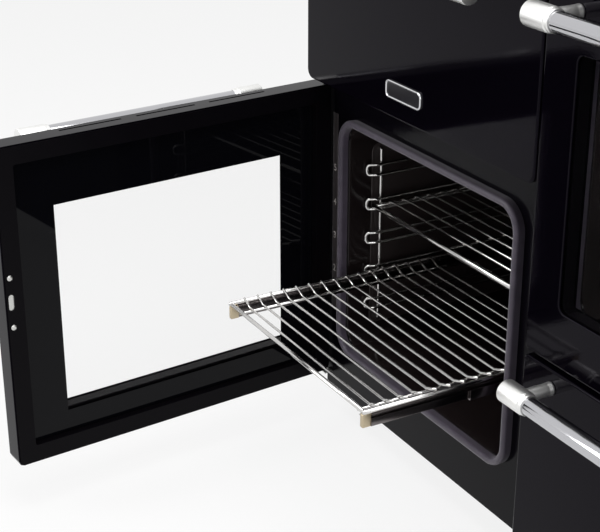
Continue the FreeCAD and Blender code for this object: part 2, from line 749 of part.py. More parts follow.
def make_main_door():
    window = (wide_x0 + window_side, wide_x1 - window_side,
              door_bottom_z + window_bottom, main_door_z1 - window_top)
    skin, pane, liner, glass = make_door_set(
        wide_x0, wide_x1, door_bottom_z, main_door_z1, window, main_hinge_x)
    slot_x = wide_x1 - catch_edge
    slot = slab(slot_x - catch_slot_width / 2, slot_x + catch_slot_width / 2,
                catch_z - catch_slot_height / 2, catch_z + catch_slot_height / 2,
                door_back_y - liner_wall - 1, door_back_y + 1, catch_slot_width / 2 - 0.1)
    liner = liner.cut(slot)
    louvres = []
    middle = (wide_x0 + wide_x1) / 2
    for i in range(louvre_count):
        x = middle + (i - (louvre_count - 1) / 2) * louvre_pitch
        y = (front_y + door_back_y) / 2 - louvre_forward
        louvres.append(box(x - louvre_width / 2, x + louvre_width / 2, y, y + louvre_height,
                           main_door_z1 - 2 * sheet, main_door_z1 + 1))
    skin = skin.cut(Part.makeCompound(louvres))
    screws = []
    for way in (-1, 1):
        z = catch_z + way * catch_screw_spacing / 2
        screws.append(turned((slot_x, door_back_y, z), (0, 1, 0),
                             ((0, catch_screw_r), (catch_head_rim, catch_screw_r),
                              (catch_head_h, catch_head_top_r)), 12))
    keeper = box(slot_x - catch_slot_width, slot_x + catch_slot_width / 2 + 1,
                 door_back_y - liner_wall - keeper_t, door_back_y - liner_wall,
                 catch_z - catch_screw_spacing / 2 - keeper_over,
                 catch_z + catch_screw_spacing / 2 + keeper_over)
    bar, ends = make_handle(middle, main_door_z1 - handle_top_inset)
    save("main_door_skin", opened(skin))
    save("main_door_window", opened(pane))
    save("main_door_liner", opened(liner))
    save("main_door_inner_glass", opened(glass))
    save("main_door_catch", [opened(s) for s in screws + [keeper]])
    save("main_door_handle", [opened(piece) for piece in [bar] + ends])
    save("door_hinges", make_hinges(main_hinge_x, door_bottom_z, main_door_z1)
         + make_hinges(main_hinge_x, grill_door_z0, grill_door_z1)
         + make_hinges(second_hinge_x, second_door_z0, second_door_z1))


def make_second_door():
    window = (narrow_x0 + second_window_side, narrow_x1 - second_window_side,
              second_door_z0 + second_window_bottom, second_door_z1 - second_window_top)
    skin, pane, liner, glass = make_door_set(
        narrow_x0, narrow_x1, second_door_z0, second_door_z1, window, second_hinge_x)
    bar, ends = make_handle((narrow_x0 + narrow_x1) / 2, second_door_z1 - handle_top_inset)
    save("second_door_skin", skin)
    save("second_door_window", pane)
    save("second_door_liner", liner)
    save("second_door_inner_glass", glass)
    save("second_door_handle", [bar] + ends)


def make_grill_door():
    """The plain door of the grill over the main oven, with a rimmed plate on its front."""
    x0, x1, z0, z1 = wide_x0, wide_x1, grill_door_z0, grill_door_z1
    bosses, bores = hinge_fit(x0, x1, z0, z1, main_hinge_x, grill_corner_r)
    skin = front_shell(x0, x1, z0, z1, door_back_y - liner_wall, grill_corner_r)
    save("grill_door_skin", skin.cut(bores))
    liner = make_liner(x0, x1, z0, z1, glass_y, grill_corner_r)
    save("grill_door_liner", fused([liner] + bosses).cut(bores))
    bar, ends = make_handle((x0 + x1) / 2, z1 - handle_top_inset)
    save("grill_door_handle", [bar] + ends)

    middle = (x0 + x1) / 2 + plate_off_middle
    px0, px1 = middle - plate_width / 2, middle + plate_width / 2
    pz0, pz1 = plate_z - plate_height / 2, plate_z + plate_height / 2
    r = plate_corner_r
    plate = slab(px0, px1, pz0, pz1, front_y - plate_t, front_y, r)
    save("door_plate", plate.cut(slab(px0 + plate_rim, px1 - plate_rim, pz0 + plate_rim, pz1 - plate_rim,
                                      front_y - plate_t - 1, front_y - plate_t / 2, r - plate_rim)))


# ---------------------------------------------------------------- ovens
def make_cavity(x0, x1, z0, z1, back):
    """An enamelled box, open in front, with a flange behind the frame."""
    wall = cavity_wall
    r = cavity_corner_r
    shell = slab(x0 - wall, x1 + wall, z0 - wall, z1 + wall, frame_back_y, back + wall, r + wall)
    lip = cavity_flange
    shell = shell.fuse(slab(x0 - lip, x1 + lip, z0 - lip, z1 + lip, frame_back_y,
                            frame_back_y + wall, r + lip))
    return shell.cut(slab(x0, x1, z0, z1, frame_back_y - 1, back, r))


def make_gasket(x0, x1, z0, z1):
    """A rounded seal round the mouth; the shut door's glass closes on it."""
    height = frame_y - glass_y - gasket_gap
    half = gasket_width / 2
    r = cavity_corner_r + gasket_offset
    steps = corner_steps(r)

    def ring(out, y):
        off = gasket_offset + out
        return outline(x0 - off, x1 + off, z0 - off, z1 + off, y, r + out, steps)

    crown_y = frame_y - height
    shoulder_y = crown_y + gasket_shoulder
    crown = gasket_crown_half
    outside = bridge([ring(half, frame_y), ring(half, shoulder_y), ring(crown, crown_y)])
    inside = bridge([ring(-half, frame_y + 1), ring(-half, shoulder_y), ring(-crown, crown_y),
                     ring(-crown, crown_y - 1)])
    return outside.cut(inside)


def make_seals():
    save("oven_seals", [
        make_gasket(main_x0, main_x1, main_z0, main_z1),
        make_gasket(main_x0, main_x1, grill_z0, grill_z1),
        make_gasket(second_x0, second_x1, second_z0, second_z1),
    ])


def make_main_oven():
    cavity = make_cavity(main_x0, main_x1, main_z0, main_z1, main_back_y)
    hole = round_bar((main_mid_x, main_back_y - 1, main_mid_z), (0, 1, 0), fan_shaft_r + 2, cavity_wall + 2)
    save("main_oven_cavity", cavity.cut(hole))

    x0 = main_mid_x - fan_cover_width / 2
    x1 = main_mid_x + fan_cover_width / 2
    z0 = main_mid_z - fan_cover_height / 2
    z1 = main_mid_z + fan_cover_height / 2
    cover = slab(x0, x1, z0, z1, fan_cover_y, main_back_y, cavity_corner_r)
    cover = cover.cut(slab(x0 + cavity_wall, x1 - cavity_wall, z0 + cavity_wall, z1 - cavity_wall,
                           fan_cover_y + cavity_wall, main_back_y + 1, cavity_corner_r - cavity_wall))
    slots = []
    for i in range(fan_slots):
        slot = box(main_mid_x + fan_slot_from, main_mid_x + fan_slot_to, fan_cover_y - 1,
                   fan_cover_y + cavity_wall + 1, main_mid_z - fan_slot_width / 2,
                   main_mid_z + fan_slot_width / 2)
        slot.rotate(Vector(main_mid_x, 0, main_mid_z), Vector(0, 1, 0), i * 360.0 / fan_slots)
        slots.append(slot)
    first_x = x0 + cover_slot_inset_x
    pitch = (fan_cover_width - 2 * cover_slot_inset_x - cover_slot_length) / (cover_slots - 1)
    for z in (z0 + cover_slot_inset_z, z1 - cover_slot_inset_z - cover_slot_height):
        for i in range(cover_slots):
            x = first_x + i * pitch
            slots.append(box(x, x + cover_slot_length, fan_cover_y - 1, fan_cover_y + cavity_wall + 1,
                             z, z + cover_slot_height))
    save("fan_cover", cover.cut(Part.makeCompound(slots)))

    fan_y0 = fan_cover_y + fan_front_gap
    fan_y1 = main_back_y - fan_back_gap
    disc = round_bar((main_mid_x, fan_y1 - fan_disc_t, main_mid_z), (0, 1, 0), fan_r, fan_disc_t, 24)
    hub = round_bar((main_mid_x, fan_y0, main_mid_z), (0, 1, 0), fan_hub_r, fan_y1 - fan_y0)
    shaft = round_bar((main_mid_x, fan_y0, main_mid_z), (0, 1, 0), fan_shaft_r,
                      main_back_y + motor_bore - fan_y0)
    pieces = [disc, hub, shaft]
    for i in range(fan_blades):
        blade = box(main_mid_x + blade_inner_r, main_mid_x + fan_r - 1, fan_y0 + 2, fan_y1 - 1,
                    main_mid_z - blade_t / 2, main_mid_z + blade_t / 2)
        blade.rotate(Vector(main_mid_x + (blade_inner_r + fan_r) / 2, 0, main_mid_z), Vector(0, 1, 0),
                     blade_turn)
        blade.rotate(Vector(main_mid_x, 0, main_mid_z), Vector(0, 1, 0), i * 360.0 / fan_blades)
        pieces.append(blade)
    save("oven_fan", fused(pieces))

    motor_y = main_back_y + cavity_wall
    motor = round_bar((main_mid_x, motor_y, main_mid_z), (0, 1, 0), motor_r, motor_length, 16)
    lug_x = motor_r + motor_lug_reach
    lugs = box(main_mid_x - lug_x, main_mid_x + lug_x, motor_y, motor_y + motor_lug_t,
               main_mid_z - motor_lug_width / 2, main_mid_z + motor_lug_width / 2)
    bore = round_bar((main_mid_x, motor_y - 1, main_mid_z), (0, 1, 0),
                     fan_shaft_r / math.cos(math.pi / 12) + shaft_clearance, motor_bore + 1)
    save("fan_motor", motor.fuse(lugs).cut(bore))

    ring_y = main_back_y - fan_cover_depth / 2
    turns = [math.radians(ring_start + i * ring_sweep / ring_chords) for i in range(ring_chords + 1)]
    points = [(main_mid_x + ring_r * math.cos(t), ring_y, main_mid_z + ring_r * math.sin(t)) for t in turns]
    first, last = points[0], points[-1]
    points = [(first[0], main_back_y, first[2])] + points + [(last[0], main_back_y, last[2])]
    save("ring_element", rod(points, element_r, 6))


def level_z(level):
    return level_1_z + (level - 1) * level_pitch


def support_z(level):
    """Axis of the rod that carries a shelf whose side rods lie at the level."""
    return level_z(level) - shelf_side_r - rack_rod_r


def make_racks():
    """Chromed ladders on both side walls: uprights with a hairpin of rod per level, whose
    closed front is bent out to the wall so that a shelf can slide in between its two rods."""
    y0 = frame_y + rack_front
    y1 = y0 + rack_length
    low = support_z(1) - rack_end_rise
    high = support_z(levels) + rack_pair + rack_end_rise
    pieces = []
    for y in (y0 + rack_upright_inset, y1 - rack_upright_inset):
        pieces.append(rod([(main_x0, y, low), (rack_x, y, low), (rack_x, y, high), (main_x0, y, high)],
                          rack_rod_r))
    for level in range(1, levels + 1):
        z = support_z(level)
        top = z + rack_pair
        bend_y = y0 + rack_flare
        pieces.append(rod([(rung_x, y1, z), (rung_x, bend_y, z), (flare_x, y0, z), (flare_x, y0, top),
                           (rung_x, bend_y, top), (rung_x, y1, top)], rack_rod_r))
    save("side_racks", pieces + [mirrored_x(piece, main_mid_x) for piece in pieces])


def rail_member(inset, height, y0, y1, open_side):
    """A channel-section rail member on the left side, its web upright."""
    x0 = rail_x + inset
    x1 = x0 + rail_member_w
    z = rail_z
    block = box(x0, x1, y0, y1, z - height / 2, z + height / 2)
    web = rail_sheet
    if open_side:
        block = block.cut(box(x0 + web, x1 + 1, y0 - 1, y1 + 1, z - height / 2 + web, z + height / 2 - web))
    return block


def make_rails():
    """Three-stage telescopic rails, drawn out, on the level-two rungs."""
    fixed_y0 = frame_y + rail_fixed_front
    step = rail_pitch
    save("shelf_rails_fixed", both_sides(
        rail_member(0, rail_height, fixed_y0, fixed_y0 + rail_length, True), main_mid_x))
    middle_y0 = frame_y + shelf_home + rail_middle_back - shelf_travel / 2
    height = rail_height - 2 * (rail_sheet + rail_stage_gap)
    save("shelf_rails_middle", both_sides(
        rail_member(step, height, middle_y0, middle_y0 + rail_length * rail_middle_share, True),
        main_mid_x))
    top_y0 = shelf_front_y + rail_end_length
    top_y1 = top_y0 + rail_length * rail_top_share
    height -= 2 * (rail_sheet + rail_stage_gap)
    top = rail_member(2 * step, height, top_y0, top_y1, False)
    x1 = top.BoundBox.XMax
    low = rail_z - height / 2
    top = top.fuse(box(x1 - rail_sheet, x1 + rail_sheet, top_y0, top_y1, low, ledge_z))
    top = top.fuse(box(moving_x + 1, x1 + rail_sheet, top_y0, top_y1, ledge_z - ledge_t, ledge_z))
    top = top.removeSplitter()
    cap = box(rail_x + rail_member_w + rail_end_gap, x1 + rail_sheet + 1, shelf_front_y, top_y0,
              low - 1, ledge_z)
    front_edges = [e for e in cap.Edges if e.BoundBox.YMax < shelf_front_y + 0.01]
    cap = cap.makeChamfer(rail_end_chamfer, front_edges)
    save("shelf_rails_top", both_sides(top, main_mid_x) + both_sides(cap, main_mid_x))


def make_pull_out_shelf():
    """A dished shelf: the cross wires hang from side rods that lie on the rails."""
    side_z = ledge_z + shelf_side_r
    side_x = moving_x + shelf_side_in
    far_x = 2 * main_mid_x - side_x
    y0 = shelf_front_y + shelf_side_r
    y1 = shelf_front_y + shelf_depth - shelf_side_r
    over_z = side_z + shelf_side_r + shelf_wire_r
    wire_z = over_z - shelf_dish
    kink_x = side_x + shelf_dip
    far_kink_x = far_x - shelf_dip
    inner_x = side_x + shelf_side_r
    far_inner_x = far_x - shelf_side_r
    back_z = side_z + shelf_back_rise
    pieces = [
        rod([(side_x, y0 - shelf_side_r, side_z), (side_x, y1 + shelf_side_r, side_z)], shelf_side_r),
        rod([(far_x, y0 - shelf_side_r, side_z), (far_x, y1 + shelf_side_r, side_z)], shelf_side_r),
        rod([(inner_x, y0, side_z), (far_inner_x, y0, side_z)], shelf_side_r),
        rod([(inner_x, y1, side_z), (inner_x + shelf_dip, y1, back_z),
             (far_inner_x - shelf_dip, y1, back_z), (far_inner_x, y1, side_z)], shelf_side_r),
    ]
    runner_z = wire_z - shelf_wire_r - shelf_runner_r
    for x in (kink_x, far_kink_x):
        pieces.append(rod([(x, y0 + shelf_side_r, runner_z), (x, y1 - shelf_side_r, runner_z)],
                          shelf_runner_r, 6))
    pitch = (y1 - y0) / (shelf_wires + 1)
    for i in range(1, shelf_wires + 1):
        y = y0 + i * pitch
        pieces.append(rod([(side_x, y, over_z), (kink_x, y, wire_z), (far_kink_x, y, wire_z),
                           (far_x, y, over_z)], shelf_wire_r, 6))
    save("pull_out_shelf", pieces)


def flat_shelf(x0, x1, y0, y1, z, wires, bar_r):
    """A plain wire shelf: side rods between a front bar and a back rod, all flush underneath,
    with cross wires on top."""
    r = shelf_side_r
    ya = y0 + 2 * bar_r
    yb = y1 - 2 * r
    pieces = [
        rod([(x0 + r, ya, z), (x0 + r, yb, z)], r),
        rod([(x1 - r, ya, z), (x1 - r, yb, z)], r),
        rod([(x0, y0 + bar_r, z - r + bar_r), (x1, y0 + bar_r, z - r + bar_r)], bar_r),
        rod([(x0, y1 - r, z), (x1, y1 - r, z)], r),
        rod([((x0 + x1) / 2, ya, z + r - shelf_runner_r), ((x0 + x1) / 2, yb, z + r - shelf_runner_r)],
            shelf_runner_r, 6),
    ]
    pitch = (yb - ya) / (wires + 1)
    wire_z = z + r + shelf_wire_r
    for i in range(1, wires + 1):
        y = ya + i * pitch
        pieces.append(rod([(x0 + shelf_wire_end, y, wire_z), (x1 - shelf_wire_end, y, wire_z)],
                          shelf_wire_r, 6))
    return pieces


def make_upper_shelf():
    edge = rung_x - rack_rod_r + 1
    y0 = frame_y + upper_shelf_front
    save("upper_shelf", flat_shelf(edge, 2 * main_mid_x - edge, y0, y0 + upper_shelf_depth,
                                   level_z(upper_shelf_level), upper_wire_count, upper_bar_r))


def make_second_oven():
    cavity = make_cavity(second_x0, second_x1, second_z0, second_z1, second_back_y)
    ledges = []
    y0 = frame_y + ledge_front
    for level in range(second_levels):
        z = second_level_1_z + level * second_level_pitch
        ledge = box(second_x0 - ledge_bite, second_x0 + ledge_depth, y0, y0 + ledge_length,
                    z - ledge_height, z)
        ledges += both_sides(ledge, (second_x0 + second_x1) / 2)
    save("second_oven_cavity", fused([cavity] + ledges))
    y0 = frame_y + second_shelf_front
    edge = second_x0 + shelf_side_gap
    z = second_level_1_z + (second_shelf_level - 1) * second_level_pitch + shelf_side_r
    save("second_oven_shelf", flat_shelf(edge, second_x0 + second_x1 - edge, y0, y0 + second_shelf_depth,
                                         z, second_wire_count, shelf_side_r))


def roof_element(x0, x1, roof_z, back):
    """A tube in hairpin loops under an oven's roof, its two ends through the back wall."""
    xa = x0 + element_inset
    pitch = (x1 - x0 - 2 * element_inset) / (2 * element_loops - 1)
    z = roof_z - element_drop
    y_near = frame_y + element_front
    y_far = y_near + element_length
    points = [(xa, back, z), (xa, y_near, z)]
    for i in range(1, 2 * element_loops):
        ends = (y_near, y_far) if i % 2 else (y_far, y_near)
        points += [(xa + i * pitch, y, z) for y in ends]
    points[-1] = (points[-1][0], back, z)
    return rod(points, element_tube_r, 6)


def make_grill():
    """The grill's cavity over the main oven, with a ledge each side and a pan on the ledges."""
    cavity = make_cavity(main_x0, main_x1, grill_z0, grill_z1, grill_back_y)
    y0 = frame_y + ledge_front
    ledge = box(main_x0 - ledge_bite, main_x0 + ledge_depth, y0, grill_back_y + ledge_bite,
                grill_ledge_z - ledge_height, grill_ledge_z)
    save("grill_cavity", fused([cavity] + both_sides(ledge, main_mid_x)))
    save("roof_elements", [roof_element(main_x0, main_x1, grill_z1, grill_back_y),
                           roof_element(second_x0, second_x1, second_z1, second_back_y)])
    x0 = main_x0 + shelf_side_gap
    x1 = main_x1 - shelf_side_gap
    y0 = frame_y + grill_pan_front
    y1 = y0 + grill_pan_length
    t = grill_pan_wall
    lip = grill_pan_lip
    rim = slab_flat(x0, x1, y0, y1, grill_ledge_z, grill_ledge_z + t, lip)
    well = slab_flat(x0 + lip, x1 - lip, y0 + lip, y1 - lip, grill_ledge_z + t - grill_pan_depth,
                     grill_ledge_z + t, lip)
    inside = slab_flat(x0 + lip + t, x1 - lip - t, y0 + lip + t, y1 - lip - t,
                       grill_ledge_z + 2 * t - grill_pan_depth, grill_ledge_z + 2 * t, lip - t)
    save("grill_pan", rim.fuse(well).cut(inside))


# ---------------------------------------------------------------- drawer
def make_drawer():
    save("drawer_front", front_shell(narrow_x0, narrow_x1, door_bottom_z, drawer_z1, door_back_y,
                                     front_corner_r))
    x0 = drawer_box_x0
    x1 = drawer_box_x1
    z0 = drawer_box_z0
    z1 = drawer_box_z0 + drawer_box_height
    y1 = door_back_y + drawer_box_depth
    inner = slab(narrow_x0 + sheet, narrow_x1 - sheet, door_bottom_z + sheet, drawer_z1 - sheet,
                 door_back_y - sheet, door_back_y, front_corner_r - sheet)
    tub = box(x0, x1, door_back_y, y1, z0, z1)
    tub = tub.cut(box(x0 + sheet, x1 - sheet, door_back_y, y1 - sheet, z0 + sheet, z1 + 1))
    slide = box(x0 - slide_w, x0, door_back_y + slide_front, y1, runner_z, runner_z + runner_height)
    save("drawer_box", fused([inner, tub] + both_sides(slide, (x0 + x1) / 2)))
    runners = []
    y0 = frame_back_y + 2 * sheet + runner_front
    y1 -= runner_back
    arm_z1 = runner_z - runner_gap
    for wall_x, side_x, out in ((column_split_x + sheet / 2, x0, -1), (right_x - sheet, x1, 1)):
        under = sorted((wall_x, side_x + out * runner_gap))
        beside = sorted((wall_x, side_x + out * (slide_w + runner_side_gap)))
        arm = box(*under, y0, y1, arm_z1 - runner_arm_t, arm_z1)
        guard = box(*beside, y0, y1, arm_z1 - runner_arm_t, runner_z + runner_height + runner_guard_rise)
        runners.append(arm.fuse(guard).removeSplitter())
    save("drawer_runners", runners)
    bar, ends = make_handle((narrow_x0 + narrow_x1) / 2, drawer_z1 - handle_top_inset)
    save("drawer_handle", [bar] + ends)


# ---------------------------------------------------------------- controls and gas
knob_z = (control_z0 + control_z1) / 2
spindle_y0 = front_y - knob_gap - spindle_reach
tap_y0 = front_y + sheet
tap_y1 = tap_y0 + tap_length


def make_controls():
    panel = front_shell(left_x, right_x, control_z0, control_z1, frame_y, front_corner_r)
    cuts = [round_bar((x, front_y - 1, knob_z), (0, 1, 0), spindle_r + spindle_hole_gap, sheet + 2, 6)
            for x in knob_xs]
    half_w = clock_width / 2 - clock_rim
    half_h = clock_height / 2 - clock_rim
    cuts.append(box(-half_w, half_w, front_y - 1, front_y + sheet + 1, knob_z - half_h, knob_z + half_h))
    save("control_panel", panel.cut(Part.makeCompound(cuts)))
    clock = slab(-clock_width / 2, clock_width / 2, knob_z - clock_height / 2, knob_z + clock_height / 2,
                 front_y - clock_proud, front_y, clock_corner_r)
    half_w -= clock_body_gap
    half_h -= clock_body_gap
    clock = clock.fuse(box(-half_w, half_w, front_y, front_y + clock_body_depth,
                           knob_z - half_h, knob_z + half_h))
    save("clock", clock)
    taps = []
    for x in knob_xs:
        taps.append(turned((x, spindle_y0, knob_z), (0, 1, 0), (
            (0, spindle_r), (tap_y0 - spindle_y0, spindle_r), (tap_y0 - spindle_y0 + tap_shoulder, tap_r),
            (tap_y1 - spindle_y0, tap_r)), spindle_sides))
    save("taps_and_switches", taps)
    for i, x in enumerate(knob_xs):
        back = front_y - knob_gap
        knob = turned((x, back, knob_z), (0, -1, 0), (
            (0, knob_skirt_r), (knob_skirt_h, knob_skirt_r - knob_skirt_taper),
            (knob_skirt_h + knob_step, knob_grip_r),
            (knob_skirt_h + knob_grip_h, knob_grip_r - knob_grip_taper)), knob_sides)
        ridge = box(x - knob_ridge_w / 2, x + knob_ridge_w / 2,
                    back - knob_skirt_h - knob_grip_h - knob_ridge_rise, back - knob_skirt_h,
                    knob_z, knob_z + knob_grip_r - 1)
        bore = round_bar((x, back + 1, knob_z), (0, -1, 0),
                         spindle_r / math.cos(math.pi / spindle_sides) + spindle_clearance,
                         spindle_reach + knob_bore_gap, spindle_sides)
        save("knob_%d" % (i + 1), knob.fuse(ridge).cut(bore))
    manifold_y = tap_y1 + manifold_r
    first = knob_xs[0]
    points = [(first - manifold_over, manifold_y, knob_z), (inlet_x, manifold_y, knob_z),
              (inlet_x, frame_back_y + pipe_turn_y, knob_z), (inlet_x, back_y - pipe_level_y, inlet_z),
              (inlet_x, back_y + inlet_length / 2, inlet_z)]
    pipe = rod(points, manifold_r)
    tail = Part.makeCylinder(inlet_r, inlet_length, Vector(inlet_x, back_y + inlet_off_panel, inlet_z),
                             Vector(0, 1, 0))
    save("gas_pipe", pipe.fuse(tail))
    w, d, h = terminal_size
    y1 = back_y + d
    block = box(cable_hole_x - w / 2, cable_hole_x + w / 2, back_y, y1, cable_hole_z - h / 2,
                cable_hole_z + h / 2)
    well = Part.makeCylinder(cable_hole_r, cable_hole_depth, Vector(cable_hole_x, y1, cable_hole_z),
                             Vector(0, -1, 0))
    save("terminal_box", block.cut(well))


# ---------------------------------------------------------------- hob
def make_hob():
    outer = box(left_x, right_x, front_y, back_y, hob_z0, hob_z1)
    under = box(left_x + sheet, right_x - sheet, front_y + sheet, back_y - sheet, hob_z0 - 1,
                plate_top_z - sheet)
    basin = box(left_x + 2 * rim_clearance, right_x - 2 * rim_clearance, front_y + 2 * rim_clearance,
                back_y - 2 * rim_clearance, plate_top_z, hob_z1 + 1)
    rim_under = box(left_x + sheet, right_x - sheet, front_y + sheet, back_y - sheet, hob_z0, hob_z1 - sheet)
    rim_under = rim_under.cut(box(left_x + 2 * rim_clearance - sheet, right_x - 2 * rim_clearance + sheet,
                                  front_y + 2 * rim_clearance - sheet, back_y - 2 * rim_clearance + sheet,
                                  hob_z0, hob_z1))
    top = outer.cut(under).cut(basin).cut(rim_under)
    heads = []
    caps = []
    burners = [(third * (hob_third + pan_gap), y, r) for third, y, r in burner_layout]
    for x, y, r in burners:
        top = top.cut(round_bar((x, y, plate_top_z - 2 * sheet), (0, 0, 1),
                                burner_stem_r + burner_stem_gap, 4 * sheet, 10))
        crown_z = plate_top_z + burner_height
        stem = burner_stem_length
        head = turned((x, y, plate_top_z - stem), (0, 0, 1), (
            (0, burner_stem_r), (stem, burner_stem_r), (stem + burner_foot_t, r + burner_foot_out),
            (stem + burner_waist_h, r - burner_waist_in), (stem + burner_height, r)), 10)
        ports = []
        for i in range(burner_ports):
            port = box(x + r - burner_port_length, x + r + 1, y - burner_port_width / 2,
                       y + burner_port_width / 2, crown_z - burner_port_depth, crown_z + 1)
            port.rotate(Vector(x, y, 0), Vector(0, 0, 1), (i + 0.5) * 360.0 / burner_ports)
            ports.append(port)
        heads.append(head.cut(Part.makeCompound(ports)))
        caps.append(turned((x, y, crown_z), (0, 0, 1), (
            (0, r - cap_inset), (cap_height - cap_chamfer_h, r - cap_inset),
            (cap_height, r - cap_inset - cap_chamfer_in)), 10))
    save("burner_heads", heads)
    save("burner_caps", caps)

    x0 = left_x + vent_inset
    x1 = right_x - vent_inset
    y1 = back_y - 2 * rim_clearance - vent_back_gap
    vent_z = plate_top_z + vent_height
    vent = box(x0, x1, y1 - vent_depth, y1, plate_top_z, vent_z)
    vent = vent.cut(box(x0 + sheet, x1 - sheet, y1 - vent_depth + sheet, y1 - sheet,
                        plate_top_z, vent_z - sheet))
    slots = []
    pitch = (width - 2 * vent_slot_inset) / vent_slots
    slot_y = y1 - (vent_depth + vent_slot_depth) / 2
    for i in range(vent_slots):
        x = left_x + vent_slot_inset + (i + 0.5) * pitch
        slots.append(box(x - vent_slot_width / 2, x + vent_slot_width / 2, slot_y,
                         slot_y + vent_slot_depth, vent_z - 2 * sheet, vent_z + 1))
    save("hob_top", [top, vent.cut(Part.makeCompound(slots))])

    top_z = plate_top_z + pan_rest_height
    low_z = top_z - pan_bar_depth
    y0 = front_y + pan_inset_front
    y1 = back_y - pan_inset_back
    supports = []
    for i in range(3):
        x0 = left_x + pan_inset_x + i * (hob_third + pan_gap)
        x1 = x0 + hob_third
        bars = [box(x0, x1, y0, y1, low_z, top_z).cut(
            box(x0 + pan_bar, x1 - pan_bar, y0 + pan_bar, y1 - pan_bar, low_z - 1, top_z + 1))]
        for fx in (x0, x1 - pan_bar):
            for fy in (y0, y1 - pan_bar):
                bars.append(box(fx, fx + pan_bar, fy, fy + pan_bar, plate_top_z, low_z))
        mine = [b for b in burners if x0 < b[0] < x1]
        if len(mine) == 2:
            split = (mine[0][1] + mine[1][1]) / 2
            bars.append(box(x0, x1, split - pan_bar / 2, split + pan_bar / 2, low_z, top_z))
            edges = {mine[0]: (y0, split), mine[1]: (split, y1)}
        else:
            edges = {mine[0]: (y0, y1)}
        for burner, (ya, yb) in edges.items():
            bx, by, r = burner
            tip = r - pan_finger_gap
            half = pan_bar / 2
            bars.append(box(x0, bx - tip, by - half, by + half, low_z, top_z))
            bars.append(box(bx + tip, x1, by - half, by + half, low_z, top_z))
            bars.append(box(bx - half, bx + half, ya, by - tip, low_z, top_z))
            bars.append(box(bx - half, bx + half, by + tip, yb, low_z, top_z))
        supports.append(fused(bars))
    save("pan_supports", supports)


make_body()
make_grill_door()
make_seals()
make_main_oven()
make_grill()
make_racks()
make_rails()
make_pull_out_shelf()
make_upper_shelf()
make_main_door()
make_second_oven()
make_second_door()
make_drawer()
make_controls()
make_hob()

print("shelf drawn out %.2f, travel %.2f, per degree %.4f" % (shelf_out, shelf_travel, shelf_per_degree))
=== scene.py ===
import math

import bmesh
import bpy
import numpy as np
from mathutils import Matrix, Vector


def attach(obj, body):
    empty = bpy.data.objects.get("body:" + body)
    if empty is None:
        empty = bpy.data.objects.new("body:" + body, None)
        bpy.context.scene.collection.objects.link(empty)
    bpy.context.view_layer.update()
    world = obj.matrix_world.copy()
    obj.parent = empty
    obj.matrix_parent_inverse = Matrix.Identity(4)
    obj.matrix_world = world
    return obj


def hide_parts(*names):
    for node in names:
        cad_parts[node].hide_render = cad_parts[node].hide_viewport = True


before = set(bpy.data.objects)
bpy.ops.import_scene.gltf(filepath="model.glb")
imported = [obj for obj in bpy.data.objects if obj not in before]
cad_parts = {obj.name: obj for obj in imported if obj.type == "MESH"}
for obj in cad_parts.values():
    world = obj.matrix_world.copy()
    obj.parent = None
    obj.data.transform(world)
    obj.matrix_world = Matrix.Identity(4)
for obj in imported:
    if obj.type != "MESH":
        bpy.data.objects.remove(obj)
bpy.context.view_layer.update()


# ---------------------------- studio
# A plain pale floor under the cooker, soft light from large lamps, and a camera that
# looks down at the open main oven from the right, as the photograph does.
floor_size = 14.0
camera_place = Vector((1.283, -1.310, 1.142))
camera_look = Vector((-0.8011, 0.4489, -0.3960))
camera_lens = 86.3
world_light = 0.35


def seen_share(tree, share):
    """The given share for rays that see the background directly, in gloss or through glass."""
    rays = tree.nodes.new("ShaderNodeLightPath")
    total = rays.outputs["Is Camera Ray"]
    for kind in ("Is Glossy Ray", "Is Transmission Ray"):
        either = tree.nodes.new("ShaderNodeMath")
        either.operation = "MAXIMUM"
        tree.links.new(total, either.inputs[0])
        tree.links.new(rays.outputs[kind], either.inputs[1])
        total = either.outputs[0]
    scaled = tree.nodes.new("ShaderNodeMath")
    scaled.operation = "MULTIPLY"
    scaled.inputs[1].default_value = share
    tree.links.new(total, scaled.inputs[0])
    return scaled.outputs[0]


def studio_surface(name, colour, share):
    """A pale matt surface that keeps shadows and stays light in what is seen of it directly."""
    material = bpy.data.materials.new(name)
    material.use_nodes = True
    nodes, links = material.node_tree.nodes, material.node_tree.links
    matt = nodes["Principled BSDF"]
    matt.inputs["Base Color"].default_value = (*colour, 1)
    matt.inputs["Roughness"].default_value = 0.9
    glow = nodes.new("ShaderNodeEmission")
    mix = nodes.new("ShaderNodeMixShader")
    links.new(seen_share(material.node_tree, share), mix.inputs[0])
    links.new(matt.outputs[0], mix.inputs[1])
    links.new(glow.outputs[0], mix.inputs[2])
    links.new(mix.outputs[0], nodes["Material Output"].inputs["Surface"])
    return material


floor_mesh = bpy.data.meshes.new("floor")
half = floor_size / 2
floor_mesh.from_pydata([(-half, -half, 0), (half, -half, 0), (half, half, 0), (-half, half, 0)],
                       [], [(0, 1, 2, 3)])
floor = bpy.data.objects.new("floor", floor_mesh)
bpy.context.scene.collection.objects.link(floor)
floor_mesh.materials.append(studio_surface("pale_floor", (0.82, 0.82, 0.82), 0.82))


def lamp(name, place, aim, width, height, power):
    """A rectangular soft lamp that points from its place at a point."""
    light = bpy.data.lights.new(name, "AREA")
    light.shape = "RECTANGLE"
    light.size = width
    light.size_y = height
    light.energy = power
    holder = bpy.data.objects.new(name, light)
    holder.location = place
    holder.rotation_euler = (Vector(aim) - Vector(place)).to_track_quat("-Z", "Y").to_euler()
    bpy.context.scene.collection.objects.link(holder)


lamp("overhead", (0.2, -0.6, 3.0), (0, 0, 0.4), 2.4, 1.6, 60)
lamp("front_left", (-1.6, -2.8, 1.6), (-0.2, 0, 0.4), 1.2, 1.8, 40)
lamp("right", (2.8, -0.6, 1.6), (0, 0, 0.4), 1.0, 1.8, 20)

